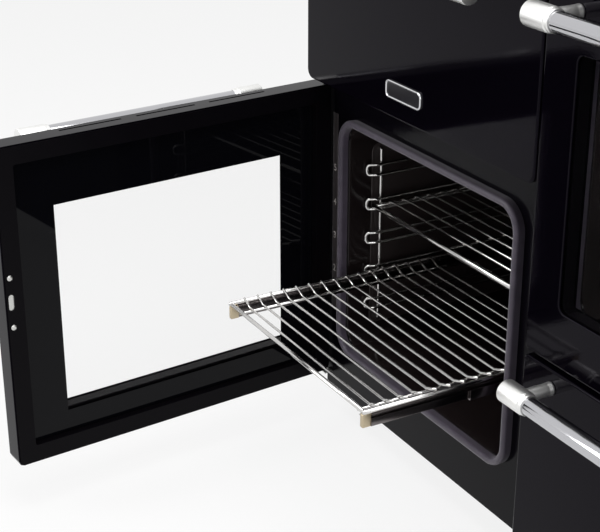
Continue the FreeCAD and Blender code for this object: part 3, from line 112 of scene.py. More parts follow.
world = bpy.data.worlds.new("studio")
world.use_nodes = True
world.node_tree.nodes["Background"].inputs["Color"].default_value = (1, 1, 1, 1)
lift = world.node_tree.nodes.new("ShaderNodeMath")
lift.operation = "ADD"
lift.inputs[1].default_value = world_light
world.node_tree.links.new(seen_share(world.node_tree, 1 - world_light), lift.inputs[0])
world.node_tree.links.new(lift.outputs[0], world.node_tree.nodes["Background"].inputs["Strength"])
bpy.context.scene.world = world
bpy.context.scene.view_settings.view_transform = "Standard"

camera_data = bpy.data.cameras.new("camera")
camera_data.lens = camera_lens
camera_data.sensor_width = 36.0
camera = bpy.data.objects.new("camera", camera_data)
look = camera_look.normalized()
across = look.cross(Vector((0, 0, 1))).normalized()
turn = Matrix((across, across.cross(look), -look)).transposed()
camera.matrix_world = Matrix.Translation(camera_place) @ turn.to_4x4()
bpy.context.scene.collection.objects.link(camera)
bpy.context.scene.camera = camera


# ---------------------------- plain fronts
# The grill door, the second oven's door and the drawer front are steel pressings with
# folded sides and rounded edges, dipped and fired in gloss black enamel.
mm = 0.001                    # sizes below are in millimetres
front_y, door_back_y = -300.0, -264.0
front_sheet = 2.0
front_edge_r = 3.0
front_corner_r = 8.0
grill_corner_r = 14.0
liner_wall = 1.5
grill_door = (-498.0, 38.5, 562.0, 805.0)
second_door = (41.5, 498.0, 354.0, 805.0)
second_window = (99.5, 440.0, 425.0, 734.0)
window_corner_r = 10.0
drawer_front = (41.5, 498.0, 74.0, 347.0)


class Value:
    """One output of a shader node, so that shader maths reads as plain expressions."""

    def __init__(self, finish, socket):
        self.finish, self.socket = finish, socket

    def maths(self, operation, first, second):
        return self.finish.node("ShaderNodeMath", {"operation": operation}, {0: first, 1: second})

    def __add__(self, other):
        return self.maths("ADD", self, other)

    def __radd__(self, other):
        return self.maths("ADD", other, self)

    def __sub__(self, other):
        return self.maths("SUBTRACT", self, other)

    def __rsub__(self, other):
        return self.maths("SUBTRACT", other, self)

    def __mul__(self, other):
        return self.maths("MULTIPLY", self, other)

    def __rmul__(self, other):
        return self.maths("MULTIPLY", other, self)

    def __gt__(self, other):
        return self.maths("GREATER_THAN", self, other)

    def __lt__(self, other):
        return self.maths("LESS_THAN", self, other)


class Finish:
    """A finish under construction on one Principled shader."""

    def __init__(self, name, **sockets):
        self.material = bpy.data.materials.new(name)
        self.material.use_nodes = True
        self.tree = self.material.node_tree
        self.shader = self.tree.nodes["Principled BSDF"]
        self.set(**sockets)

    def plug(self, socket, value):
        """Links a value to a socket, or sets a number or a colour on it."""
        if isinstance(value, Value):
            self.tree.links.new(value.socket, socket)
        elif socket.type == "RGBA":
            socket.default_value = (*value, 1)
        else:
            socket.default_value = value

    def node(self, kind, settings=(), sockets=(), out=0):
        """Adds a node: its settings first, then its sockets' values or links."""
        made = self.tree.nodes.new(kind)
        for key, value in dict(settings).items():
            setattr(made, key, value)
        for key, value in dict(sockets).items():
            self.plug(made.inputs[key], value)
        return Value(self, made.outputs[out])

    def set(self, **sockets):
        """Sockets of the shader by name, with _ for a space."""
        for key, value in sockets.items():
            self.plug(self.shader.inputs[key.replace("_", " ")], value)
        return self

    def place(self, stretch=(1, 1, 1)):
        """Object coordinates in metres, scaled along each axis."""
        spot = self.node("ShaderNodeTexCoord", out="Object")
        return self.node("ShaderNodeMapping", {}, {"Vector": spot, "Scale": stretch})

    def noise(self, scale, detail=2.0, stretch=(1, 1, 1)):
        return self.node("ShaderNodeTexNoise", {}, {"Vector": self.place(stretch), "Scale": scale,
                                                    "Detail": detail})

    def blend(self, share, first, second):
        """A colour between two, by a share from 0 to 1."""
        return self.node("ShaderNodeMix", {"data_type": "RGBA"}, {0: share, 6: first, 7: second}, 2)

    def relief(self, height, strength, distance):
        """Fine relief of the surface, in metres."""
        return self.set(Normal=self.node("ShaderNodeBump", {}, {
            "Height": height, "Strength": strength, "Distance": distance}))


def dress(finish, *nodes, bevel=0.0, segments=2):
    """Gives CAD nodes their finish and, with bevel, softly rounded edges."""
    for name in nodes:
        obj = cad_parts[name]
        if not obj.data.materials:
            obj.data.materials.append(finish.material)
        for slot in obj.material_slots:
            slot.material = finish.material
        if bevel:
            obj.modifiers.new("weld", "WELD").merge_threshold = 1e-5
            flat = obj.modifiers.new("flat", "DECIMATE")
            flat.decimate_type = "DISSOLVE"
            flat.angle_limit = math.radians(1)
            ease = obj.modifiers.new("ease", "BEVEL")
            ease.width = bevel * mm
            ease.segments = segments
            ease.limit_method = "ANGLE"
            ease.angle_limit = math.radians(24)
            ease.harden_normals = True


def piece(name, parts, finish, body, stands_for=(), turned=None, crisp=50):
    """One object from parts, each (points in mm, faces): doubles merged, faces outwards."""
    points, faces, first = [], [], 0
    for spots, sides in parts:
        points.append(spots)
        faces += [tuple(i + first for i in side) for side in sides]
        first += len(spots)
    points = np.concatenate(points)
    points = (turned(points) if turned else points) * mm
    mesh = bpy.data.meshes.new(name)
    mesh.from_pydata(points.tolist(), [], faces)
    work = bmesh.new()
    work.from_mesh(mesh)
    bmesh.ops.remove_doubles(work, verts=work.verts, dist=1e-6)
    bmesh.ops.recalc_face_normals(work, faces=work.faces)
    work.to_mesh(mesh)
    work.free()
    mesh.shade_smooth()
    mesh.set_sharp_from_angle(angle=math.radians(crisp))
    mesh.materials.append(finish.material)
    obj = bpy.data.objects.new(name, mesh)
    bpy.context.scene.collection.objects.link(obj)
    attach(obj, body)
    if stands_for:
        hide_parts(*stands_for)
    return obj


def woven(grid, along=False, caps=False):
    """Quads between neighbours of a (rows, columns, 3) grid: each row is a closed ring; along
    joins the last row to the first, and caps fills the two end rings."""
    rows, columns = grid.shape[:2]
    i = np.arange(rows if along else rows - 1)[:, None]
    j = np.arange(columns)[None, :]
    over, beside = (i + 1) % rows, (j + 1) % columns
    quads = np.stack([i * columns + j, over * columns + j, over * columns + beside,
                      i * columns + beside], -1).reshape(-1, 4).tolist()
    if caps:
        quads += [list(range(columns)), list(range((rows - 1) * columns, rows * columns))]
    return grid.reshape(-1, 3), quads


def rounded(x0, x1, z0, z1, r, steps=10):
    """Points (x, z) round a rectangle: each corner is a quarter circle of radius r."""
    r = max(r, 0.02)
    turn = np.linspace(0, math.pi / 2, steps + 1)
    quarters = []
    for i, (cx, cz) in enumerate(((x1 - r, z1 - r), (x0 + r, z1 - r), (x0 + r, z0 + r),
                                  (x1 - r, z0 + r))):
        angle = turn + i * math.pi / 2
        quarters.append(np.stack([cx + r * np.cos(angle), cz + r * np.sin(angle)], 1))
    return np.concatenate(quarters)


def rings(outline, r, rows):
    """A grid of rings: each row (inset, y) is the outline drawn in by inset, at depth y."""
    x0, x1, z0, z1 = outline
    grid = []
    for inset, y in rows:
        ring = rounded(x0 + inset, x1 - inset, z0 + inset, z1 - inset, r - inset)
        grid.append(np.stack([ring[:, 0], np.full(len(ring), y), ring[:, 1]], 1))
    return np.array(grid)


def eased(y0, edge_r):
    """Rows round a front edge: a quarter circle from the face to the side."""
    turn = np.linspace(0, math.pi / 2, 6)
    return [(edge_r + 4, y0), (edge_r + 0.4, y0)] + [
        (edge_r * (1 - math.sin(t)), y0 + edge_r * (1 - math.cos(t))) for t in turn]


def pressing(outline, r, back_y, window=None):
    """A pressed front of even sheet, open behind; with a window, its edge is turned in."""
    side = [(0, back_y - 0.4), (0, back_y), (front_sheet, back_y), (front_sheet, back_y - 0.4),
            (front_sheet, front_y + front_sheet + 0.4), (front_sheet, front_y + front_sheet),
            (front_sheet + 0.4, front_y + front_sheet)]
    shell = rings(outline, r, eased(front_y, front_edge_r) + side)
    if window is None:
        return woven(shell, caps=True)
    fold = rings(window, window_corner_r, [(-0.8, front_y + front_sheet),
                                           (0, front_y + front_sheet),
                                           (0, front_y + 0.8), (-0.3, front_y + 0.25),
                                           (-0.8, front_y), (-2.0, front_y)])
    return woven(np.concatenate([fold, shell]), along=True)


gloss_enamel = Finish("gloss_enamel", Base_Color=(0.0015, 0.001, 0.0025), Specular_IOR_Level=0.07,
                      Specular_Tint=(0.86, 0.78, 1.0))
gloss_enamel.set(Roughness=0.035 + gloss_enamel.noise(9.0) * 0.05)
gloss_enamel.relief(gloss_enamel.noise(420.0, 1.0), 0.05, 0.0004)

piece("grill_door_front", [pressing(grill_door, grill_corner_r, door_back_y - liner_wall)],
      gloss_enamel, "grill_door", ["grill_door_skin"])
piece("second_door_front", [pressing(second_door, front_corner_r, door_back_y - liner_wall,
                                     second_window)],
      gloss_enamel, "second_door", ["second_door_skin"])
piece("drawer_pressing", [pressing(drawer_front, front_corner_r, door_back_y)],
      gloss_enamel, "drawer", ["drawer_front"])


# ---------------------------- main door
# The open door: an enamelled skin with three louvres in its top, a satin black liner, an
# outer pane and a large inner glass with a printed black border round a clear window.
main_hinge = np.array([-493.0, -268.0])
main_swing = math.radians(-85)
main_window = (-414.0, -46.0, 136.0, 450.0)
gloss_dark = (0.002, 0.002, 0.003)


def swung(points):
    """Points of the shut door turned to where it stands open: p' = R (p - hinge) + hinge."""
    c, s = math.cos(main_swing), math.sin(main_swing)
    flat = points[:, :2] - main_hinge
    turned = np.stack([c * flat[:, 0] - s * flat[:, 1], s * flat[:, 0] + c * flat[:, 1]], 1)
    return np.column_stack([turned + main_hinge, points[:, 2]])


satin_liner = Finish("satin_liner", Base_Color=(0.0025, 0.002, 0.003), Specular_IOR_Level=0.06)
satin_liner.set(Roughness=0.27 + satin_liner.noise(30.0) * 0.1)
satin_liner.relief(satin_liner.noise(900.0, 1.0), 0.12, 0.0004)


def printed_glass(name, window, swing=0.0):
    """Toughened glass: gloss black print outside a clear window given in the door's own x and z."""
    glass = Finish(name, Base_Color=gloss_dark, Specular_IOR_Level=0.12)
    spot = glass.node("ShaderNodeTexCoord", out="Object")
    hinge = main_hinge * mm
    c, s = math.cos(-swing), math.sin(-swing)
    still = (hinge[0] - c * hinge[0] + s * hinge[1], hinge[1] - s * hinge[0] - c * hinge[1], 0)
    spot = glass.node("ShaderNodeMapping", {}, {
        "Vector": spot, "Location": still if swing else (0, 0, 0), "Rotation": (0, 0, -swing)})
    x = glass.node("ShaderNodeSeparateXYZ", {}, {0: spot}, 0)
    z = glass.node("ShaderNodeSeparateXYZ", {}, {0: spot}, 2)
    x0, x1, z0, z1 = (edge * mm for edge in window)
    clear = (x > x0) * (x < x1) * (z > z0) * (z < z1)
    glass.set(Alpha=1 - clear * 0.982, Roughness=0.01 + glass.noise(12.0) * 0.02)
    return glass


clear_pane = Finish("clear_pane", Base_Color=(0.02, 0.022, 0.022), Alpha=0.018)
clear_pane.set(Roughness=0.01 + clear_pane.noise(12.0) * 0.02)
dress(gloss_enamel, "main_door_skin", bevel=1.4, segments=3)
dress(satin_liner, "main_door_liner", "grill_door_liner", "second_door_liner", bevel=0.7)
dress(printed_glass("main_glass", main_window, main_swing), "main_door_inner_glass", bevel=0.4)
dress(printed_glass("second_glass", second_window), "second_door_inner_glass", bevel=0.4)
dress(clear_pane, "main_door_window", "second_door_window")

bright_zinc = Finish("bright_zinc", Base_Color=(0.62, 0.62, 0.60), Metallic=1.0)
bright_zinc.set(Roughness=0.25 + bright_zinc.noise(200.0) * 0.2)
dress(bright_zinc, "main_door_catch", "door_hinges", bevel=0.4)


# ---------------------------- door handles
# Each door and the drawer carries a polished tube held at its ends by satin alloy
# sockets, each on a round post that is screwed through the front.
bar_y = -350.0
bar_r, end_r, post_r = 12.0, 15.0, 9.0
handle_length, end_length, end_seat = 390.0, 45.0, 33.0


def bend(points, radius, steps=6):
    """A line whose corners become arcs; an arc is cut short where its runs are short."""
    points = [np.array(p, float) for p in points]
    line = [points[0]]
    for before, corner, after in zip(points, points[1:], points[2:]):
        u, v = before - corner, after - corner
        nu, nv = np.linalg.norm(u), np.linalg.norm(v)
        u, v = u / nu, v / nv
        angle = math.acos(max(-1.0, min(1.0, float(u @ v))))
        if math.pi - angle < 0.02:
            line.append(corner)
            continue
        cut = min(radius / math.tan(angle / 2), 0.49 * nu, 0.49 * nv)
        r = cut * math.tan(angle / 2)
        centre = corner + (u + v) / np.linalg.norm(u + v) * (r / math.sin(angle / 2))
        a, b, sweep = corner + u * cut - centre, corner + v * cut - centre, math.pi - angle
        k = np.linspace(0, 1, steps + 1)[:, None]
        arc = (np.sin((1 - k) * sweep) * a + np.sin(k * sweep) * b) / math.sin(sweep)
        line += list(centre + arc)
    line.append(points[-1])
    return np.array(line)


def lathe(origin, axis, profile, sides=48, ease=0.5):
    """A turned piece: point = origin + along * axis + radius (cos t, sin t) across the axis."""
    flat = bend([(r, along, 0) for along, r in profile], ease, 4)
    axis = np.array(axis, float)
    lead = np.array((0, 0, 1.0) if abs(axis[2]) < 0.9 else (0, 1.0, 0))
    side = np.cross(axis, lead)
    t = np.linspace(0, 2 * math.pi, sides, endpoint=False)
    ring = np.cos(t)[:, None] * side + np.sin(t)[:, None] * lead
    grid = np.array(origin, float) + flat[:, 1, None, None] * axis + flat[:, 0, None, None] * ring
    return woven(grid)


def tube(line, radius, about=(1, 0, 0), sides=10):
    """A round bar along a line: point = line + radius (cos t * a + sin t * b), with a and b
    square to the line and the ends eased in; about is a direction in which it never runs."""
    line = np.asarray(line, float)
    run = np.gradient(line, axis=0)
    run /= np.linalg.norm(run, axis=1)[:, None]
    ease = 0.4 * radius
    line = np.concatenate([line[:1], line[:1], line[:1] + ease * run[:1], line[1:-1],
                           line[-1:] - ease * run[-1:], line[-1:], line[-1:]])
    run = np.concatenate([run[:1], run[:1], run[:1], run[1:-1], run[-1:], run[-1:], run[-1:]])
    radii = np.concatenate([[0, 0.6 * radius], np.full(len(line) - 4, radius), [0.6 * radius, 0]])
    a = np.cross(run, np.array(about, float))
    a /= np.linalg.norm(a, axis=1)[:, None]
    b = np.cross(run, a)
    t = np.linspace(0, 2 * math.pi, sides, endpoint=False)
    grid = line[:, None] + radii[:, None, None] * (
        np.cos(t)[None, :, None] * a[:, None] + np.sin(t)[None, :, None] * b[:, None])
    return woven(grid)


polished_tube = Finish("polished_tube", Base_Color=(0.50, 0.50, 0.52), Metallic=1.0)
polished_tube.set(Roughness=0.05 + polished_tube.noise(60.0, 3.0, (0.05, 1, 1)) * 0.05)
satin_alloy = Finish("satin_alloy", Metallic=1.0)
satin_alloy.set(Roughness=0.30 + satin_alloy.noise(260.0, 3.0) * 0.14)
satin_alloy.set(Base_Color=satin_alloy.blend(satin_alloy.noise(40.0), (0.76, 0.76, 0.75),
                                             (0.88, 0.88, 0.86)))
satin_alloy.relief(satin_alloy.noise(1500.0, 1.0), 0.08, 0.0002)


def handle(name, body, node, middle, z, turned=None):
    """A bar and its two sockets on posts; the sockets are one piece, the bar another."""
    x0, x1 = middle - handle_length / 2, middle + handle_length / 2
    sockets = []
    for x, way in ((x0, 1), (x1, -1)):
        sockets.append(lathe((x, bar_y, z), (way, 0, 0), (
            (0, 0), (0, end_r), (end_length - 6, end_r), (end_length - 5, end_r - 1.2),
            (end_length, end_r - 1.2), (end_length, bar_r - 0.5), (end_seat, bar_r - 0.5),
            (end_seat, 0)), 56, 1.2))
        sockets.append(lathe((x + way * end_length / 2, bar_y + 6, z), (0, 1, 0), (
            (0, 0), (0, post_r - 0.6), (36, post_r - 0.6), (41, post_r), (43.9, post_r),
            (43.9, 0)), 40, 2.0))
    piece(name + "_sockets", sockets, satin_alloy, body, [node], turned)
    shown = handle_length - 2 * end_seat
    bar = lathe((x0 + end_seat, bar_y, z), (1, 0, 0), (
        (0, 0), (0, bar_r), (shown, bar_r), (shown, 0)), 64)
    piece(name + "_bar", [bar], polished_tube, body, [node], turned)


for name, body, node, front in (("grill_pull", "grill_door", "grill_door_handle", grill_door),
                                ("second_pull", "second_door", "second_door_handle", second_door),
                                ("drawer_pull", "drawer", "drawer_handle", drawer_front)):
    handle(name, body, node, (front[0] + front[1]) / 2, front[3] - 24.0)
handle("main_pull", "main_door", "main_door_handle", -229.75, 524.0, swung)


# ---------------------------- oven cavities
# Each oven is a deep box of enamelled steel with round corners, rolled out at its mouth;
# shelf ledges are pressed into the second oven's and the grill's walls.
frame_y = -260.0
main_oven = (-443.0, -32.0, 141.0, 499.0)
second_oven = (91.75, 447.75, 404.0, 756.0)
grill_space = (-443.0, -32.0, 604.0, 760.0)
oven_corner_r, oven_wall = 28.0, 1.5
main_back_y, second_back_y, grill_back_y = 230.0, 170.0, 110.0
oven_mid_x, second_mid_x = -237.5, 269.75
ledge_front_y, ledge_r = -235.0, 1.5

oven_enamel = Finish("oven_enamel", Specular_IOR_Level=0.2)
speckle = oven_enamel.noise(2600.0, 1.0) > 0.69
tone = oven_enamel.noise(5.0)
ground = oven_enamel.blend(tone, (0.006, 0.0045, 0.005), (0.016, 0.011, 0.011))
oven_enamel.set(Base_Color=oven_enamel.blend(speckle, ground, (0.045, 0.038, 0.036)))
oven_enamel.set(Roughness=0.09 + oven_enamel.noise(14.0) * 0.10)
oven_enamel.relief(oven_enamel.noise(260.0, 2.0), 0.10, 0.0006)


def oven_box(outline, back_y):
    """A closed shell: the inside from the back plate to the mouth, the lip and the outside."""
    fillet = 16.0
    turn = np.linspace(0, math.pi / 2, 7)
    rows = [(fillet + 30, back_y), (fillet + 0.5, back_y)]
    rows += [(0.7 + fillet * (1 - math.sin(t)), back_y - fillet * (1 - math.cos(t))) for t in turn]
    rows += [(0.7, frame_y + 14), (0.7, frame_y + 5), (0.3, frame_y + 1.2), (-0.9, frame_y - 0.3),
             (-2.0, frame_y - 0.4), (-2.0, frame_y + 2.3), (-9.0, frame_y + 2.4),
             (-9.0, frame_y + 3.5), (-oven_wall, frame_y + 3.5), (-oven_wall, back_y - 0.5),
             (-oven_wall, back_y + oven_wall), (0, back_y + oven_wall)]
    return woven(rings(outline, oven_corner_r, rows), caps=True)


def block(x0, x1, y0, y1, z0, z1, r):
    """A bar along y: rounded rectangles whose inset follows a quarter circle of radius r at its
    front, so that its long edges and its front are eased."""
    rows = [(r + 0.4, y0), (r, y0)] + [(r * (1 - math.sin(t)), y0 + r * (1 - math.cos(t)))
                                      for t in np.linspace(0, math.pi / 2, 4)]
    rows += [(0, y1 - 0.3), (0, y1)]
    grid = []
    for inset, y in rows:
        ring = rounded(x0 + inset, x1 - inset, z0 + inset, z1 - inset, max(r - inset, 0.05), 4)
        grid.append(np.stack([ring[:, 0], np.full(len(ring), y), ring[:, 1]], 1))
    return woven(np.array(grid), caps=True)


def mirrored(part, x):
    """The same part on the other side of the plane at x."""
    points = part[0].copy()
    points[:, 0] = 2 * x - points[:, 0]
    return points, part[1]


def both(part, x):
    return [part, mirrored(part, x)]


second_ledges = []
for z in (462.0, 522.0, 582.0, 642.0):
    second_ledges += both(block(90.75, 101.75, ledge_front_y, 135.0, z - 4, z, ledge_r),
                          second_mid_x)
grill_ledges = both(block(-444.0, -433.0, ledge_front_y, grill_back_y, 634.0, 638.0, ledge_r),
                    oven_mid_x)
piece("main_oven_box", [oven_box(main_oven, main_back_y)], oven_enamel, "cooker",
      ["main_oven_cavity"])
piece("second_oven_box", [oven_box(second_oven, second_back_y)] + second_ledges, oven_enamel,
      "cooker", ["second_oven_cavity"])
piece("grill_box", [oven_box(grill_space, grill_back_y)] + grill_ledges, oven_enamel, "cooker",
      ["grill_cavity"])
dress(oven_enamel, "fan_cover", bevel=1.2, segments=3)


# ---------------------------- oven seals
# Each oven's mouth is ringed by a hollow round seal of woven fibre over silicone,
# clipped into the front frame; the shut door's glass closes on its crown.
seal_offset, seal_half, seal_wall, seal_foot = 6.5, 5.5, 8.2, 0.6


def seal(outline):
    """A half-round band: each ring is the mouth's outline moved out by the profile's x."""
    t = np.linspace(0, math.pi, 11)
    x0, x1, z0, z1 = outline
    arch = [(seal_offset + seal_half * math.cos(a),
             frame_y - seal_wall - seal_half * math.sin(a)) for a in t]
    rows = ([(seal_offset + seal_half - seal_foot, frame_y)] + arch
            + [(seal_offset - seal_half + seal_foot, frame_y)])
    grid = []
    for out, y in rows:
        ring = rounded(x0 - out, x1 + out, z0 - out, z1 + out, oven_corner_r + out, 14)
        grid.append(np.stack([ring[:, 0], np.full(len(ring), y), ring[:, 1]], 1))
    return woven(np.array(grid), along=True)


woven_seal = Finish("woven_seal", Specular_IOR_Level=0.35, Sheen_Weight=0.25)
strand = woven_seal.node(
    "ShaderNodeTexWave", {"wave_type": "BANDS", "bands_direction": "DIAGONAL"},
    {"Vector": woven_seal.place(), "Scale": 320.0, "Distortion": 1.5, "Detail": 1.0}, 1)
woven_seal.set(Base_Color=woven_seal.blend(woven_seal.noise(60.0), (0.030, 0.023, 0.038),
                                           (0.072, 0.058, 0.084)))
woven_seal.set(Roughness=0.34 + strand * 0.12)
woven_seal.relief(strand, 0.18, 0.0004)
piece("door_seals", [seal(main_oven), seal(second_oven), seal(grill_space)], woven_seal, "cooker",
      ["oven_seals"])


# ---------------------------- front frame
# The sheet that the doors close on. Down its left edge runs a narrow satin strip with
# the shelf numbers, embossed and picked out in pale ink.
frame_enamel = Finish("frame_enamel", Base_Color=(0.002, 0.0015, 0.003), Specular_IOR_Level=0.07)
frame_enamel.set(Roughness=0.14 + frame_enamel.noise(20.0) * 0.08)
frame_enamel.relief(frame_enamel.noise(300.0), 0.06, 0.0004)
dress(frame_enamel, "front_frame")

strip_x0, strip_x1, strip_face = -487.0, -474.0, frame_y - 0.8
print_height = 0.06
strip_satin = Finish("strip_satin", Metallic=0.6)
strip_satin.set(Base_Color=strip_satin.blend(strip_satin.noise(25.0, 2.0, (1, 1, 0.2)),
                                             (0.050, 0.042, 0.044), (0.095, 0.080, 0.082)))
strip_satin.set(Roughness=0.34 + strip_satin.noise(200.0, 2.0, (1, 1, 0.05)) * 0.14)
piece("number_strip", [block(strip_x0, strip_x1, strip_face, frame_y, 186.0, 505.0, 0.5)],
      strip_satin, "cooker")

pale_ink = Finish("pale_ink", Base_Color=(0.60, 0.56, 0.54))
pale_ink.set(Roughness=0.45 + pale_ink.noise(300.0) * 0.1)
number_x, number_height = -480.0, 11.0
top_level_z, level_pitch = 420.0, 54.75
numbers = []
for below, number in enumerate((5, 4, 3, 2)):
    level_z = top_level_z - below * level_pitch
    digit = bpy.data.curves.new("digit", "FONT")
    digit.body = str(number)
    digit.size = number_height * 1.4
    digit.align_x = "CENTER"
    digit.extrude = 0.02
    holder = bpy.data.objects.new("digit", digit)
    flat = bpy.data.meshes.new_from_object(holder)
    spots = np.zeros(len(flat.vertices) * 3)
    flat.vertices.foreach_get("co", spots)
    spots = spots.reshape(-1, 3)
    place = np.stack([number_x + spots[:, 0], strip_face - print_height - spots[:, 2],
                      level_z - number_height / 2 + spots[:, 1]], 1)
    numbers.append((place, [tuple(side.vertices) for side in flat.polygons]))
    bpy.data.objects.remove(holder)
piece("shelf_numbers", numbers, pale_ink, "cooker")


# ---------------------------- side liners
# A removable enamelled panel hangs on each side wall of the main oven, behind its rack.
# It is pressed from sheet, with round corners and an eased edge.
liner_panel = (-220.0, 192.0, 166.0, 462.0)     # y and z
liner_face_x, liner_r = -441.2, 14.0


def wall_panel(outline, wall_x, face_x, r):
    """A plate against a side wall: ring (y, z) of the outline at each (inset, x) row."""
    ease = 1.2
    rows = [(0, wall_x), (0, face_x - ease)] + [
        (ease * (1 - math.cos(t)), face_x - ease * (1 - math.sin(t)))
        for t in np.linspace(0.2, 1.57, 5)]
    rows += [(ease + 0.5, face_x), (5.0, face_x), (6.0, face_x - 0.5), (7.0, face_x - 0.7),
             (9.0, face_x - 0.7)]
    y0, y1, z0, z1 = outline
    grid = []
    for inset, x in rows:
        ring = rounded(y0 + inset, y1 - inset, z0 + inset, z1 - inset, r - inset)
        grid.append(np.stack([np.full(len(ring), x), ring[:, 0], ring[:, 1]], 1))
    return woven(np.array(grid), caps=True)


liner_enamel = Finish("liner_enamel", Specular_IOR_Level=0.4)
liner_fleck = liner_enamel.noise(2200.0, 1.0) > 0.66
liner_enamel.set(Base_Color=liner_enamel.blend(liner_fleck, (0.024, 0.017, 0.017),
                                               (0.075, 0.062, 0.060)))
liner_enamel.set(Roughness=0.36 + liner_enamel.noise(40.0) * 0.14)
liner_enamel.relief(liner_enamel.noise(1200.0), 0.2, 0.0004)
piece("side_liners", both(wall_panel(liner_panel, main_oven[0], liner_face_x, liner_r), oven_mid_x),
      liner_enamel, "cooker")


# ---------------------------- side racks
# Chromed wire ladders hooked to the main oven's side walls: two uprights a side, and a
# hairpin of rod for every level, with its closed front bent out to the wall.
rod_r, wall_x = 2.5, main_oven[0]
rack_x, rung_x, flare_x = -438.0, -433.0, -439.5
rack_front_y, rack_back_y = -230.0, 170.0
rack_pair = 16.0
rack_bend, rack_upright_in, rack_overrun = 14, 24, 22
bottom_level_z, side_r = 201.0, 3.0             # the shelves' side rods lie on the ladders
supports_z = [bottom_level_z + level_pitch * i - side_r - rod_r for i in range(5)]

chrome_wire = Finish("chrome_wire", Base_Color=(0.62, 0.61, 0.60), Metallic=1.0)
chrome_wire.set(Roughness=0.10 + chrome_wire.noise(120.0) * 0.09)
chrome_wire.relief(chrome_wire.noise(700.0), 0.05, 0.0002)

ladder = []
for y in (rack_front_y + rack_upright_in, rack_back_y - rack_upright_in):
    low, high = supports_z[0] - rack_overrun, supports_z[-1] + rack_pair + rack_overrun
    ladder.append(tube(bend([(wall_x, y, low), (rack_x, y, low), (rack_x, y, high),
                             (wall_x, y, high)], 4),
                       rod_r, (0, 1, 0), 14))
for z in supports_z:
    ladder.append(tube(bend([
        (rung_x, rack_back_y, z), (rung_x, rack_front_y + rack_bend, z), (flare_x, rack_front_y, z),
        (flare_x, rack_front_y, z + rack_pair), (rung_x, rack_front_y + rack_bend, z + rack_pair),
        (rung_x, rack_back_y, z + rack_pair)], 6), rod_r, (1, 0, 0), 14))
piece("rack_ladders", ladder + [mirrored(part, oven_mid_x) for part in ladder], chrome_wire,
      "cooker", ["side_racks"], crisp=70)


# ---------------------------- telescopic rails
# Three nested channels a side, rolled from dark chromed steel: one hooked on the rack,
# one in the middle, and one with a ledge that carries the shelf and a brassed end block.
rail_z, ledge_z = 247.55, 260.25
rail_x, rail_width, rail_length = -430.2, 6.4, 372.0
rail_step, rail_sheet, rail_setback = 2.6, 1.3, 13.0
fixed_height, middle_height, inner_height = 18.0, 14.6, 11.2
block_length, ledge_sheet, rail_edge_r = 12.0, 1.5, 0.45
shelf_front_y, shelf_travel, shelf_home = -472.45, 297.45, 85.0


def rolled(profile, y0, y1):
    """A closed profile of (x, z) with its corners eased, drawn out along y."""
    middle = ((profile[0][0] + profile[1][0]) / 2, (profile[0][1] + profile[1][1]) / 2)
    line = bend([(middle[0], middle[1], 0)] + [(x, z, 0) for x, z in profile[1:] + profile[:1]]
                + [(middle[0], middle[1], 0)], rail_edge_r, 3)[:-1]
    grid = [np.stack([line[:, 0], np.full(len(line), y), line[:, 1]], 1)
            for y in (y0, y0 + 0.3, y1 - 0.3, y1)]
    return woven(np.array(grid), caps=True)


def channel(x0, height, y0, y1):
    """A channel section open to the oven's middle."""
    z0, z1, x1 = rail_z - height / 2, rail_z + height / 2, x0 + rail_width
    web_x, low, high = x0 + rail_sheet, z0 + rail_sheet, z1 - rail_sheet
    return rolled([(x0, z0), (x1, z0), (x1, low), (web_x, low), (web_x, high), (x1, high),
                   (x1, z1), (x0, z1)], y0, y1)


rail_chrome = Finish("rail_chrome", Metallic=1.0)
streak = rail_chrome.noise(120.0, 1.0, (1, 0.01, 1))
rail_chrome.set(Base_Color=rail_chrome.blend(streak, (0.13, 0.115, 0.115), (0.26, 0.24, 0.24)))
rail_chrome.set(Roughness=0.16 + streak * 0.08)

fixed = channel(rail_x, fixed_height, -236.0, 136.0)
middle_y = frame_y + shelf_home + rail_setback - shelf_travel / 2
middle = channel(rail_x + rail_step, middle_height, middle_y, middle_y + rail_length * 0.92)
top_y0 = shelf_front_y + block_length
inner_x, ledge_x = rail_x + 2 * rail_step, rail_x + 3.6
x1, z0, z1 = inner_x + rail_width, rail_z - inner_height / 2, rail_z + inner_height / 2
ledge_base_z = ledge_z - ledge_sheet
inner = rolled([(inner_x, z0), (x1 + rail_sheet, z0), (x1 + rail_sheet, ledge_z),
                (ledge_x, ledge_z), (ledge_x, ledge_base_z), (x1 - rail_sheet, ledge_base_z),
                (x1 - rail_sheet, z1), (inner_x, z1)], top_y0, top_y0 + rail_length * 0.96)
piece("fixed_rails", both(fixed, oven_mid_x), rail_chrome, "cooker",
      ["shelf_rails_fixed"])
piece("middle_rails", both(middle, oven_mid_x), rail_chrome, "rail_middles",
      ["shelf_rails_middle"])
piece("inner_rails", both(inner, oven_mid_x), rail_chrome, "drawn_shelf",
      ["shelf_rails_top"])

end_block = block(rail_x + 6.9, x1 + 2.3, shelf_front_y, top_y0 + 0.4, z0 - 1, ledge_z, 1.6)
brassed = Finish("brassed_end", Metallic=1.0, Base_Color=(0.52, 0.44, 0.31))
brassed.set(Roughness=0.24 + brassed.noise(150.0) * 0.12)
piece("rail_ends", both(end_block, oven_mid_x), brassed, "drawn_shelf",
      ["shelf_rails_top"])


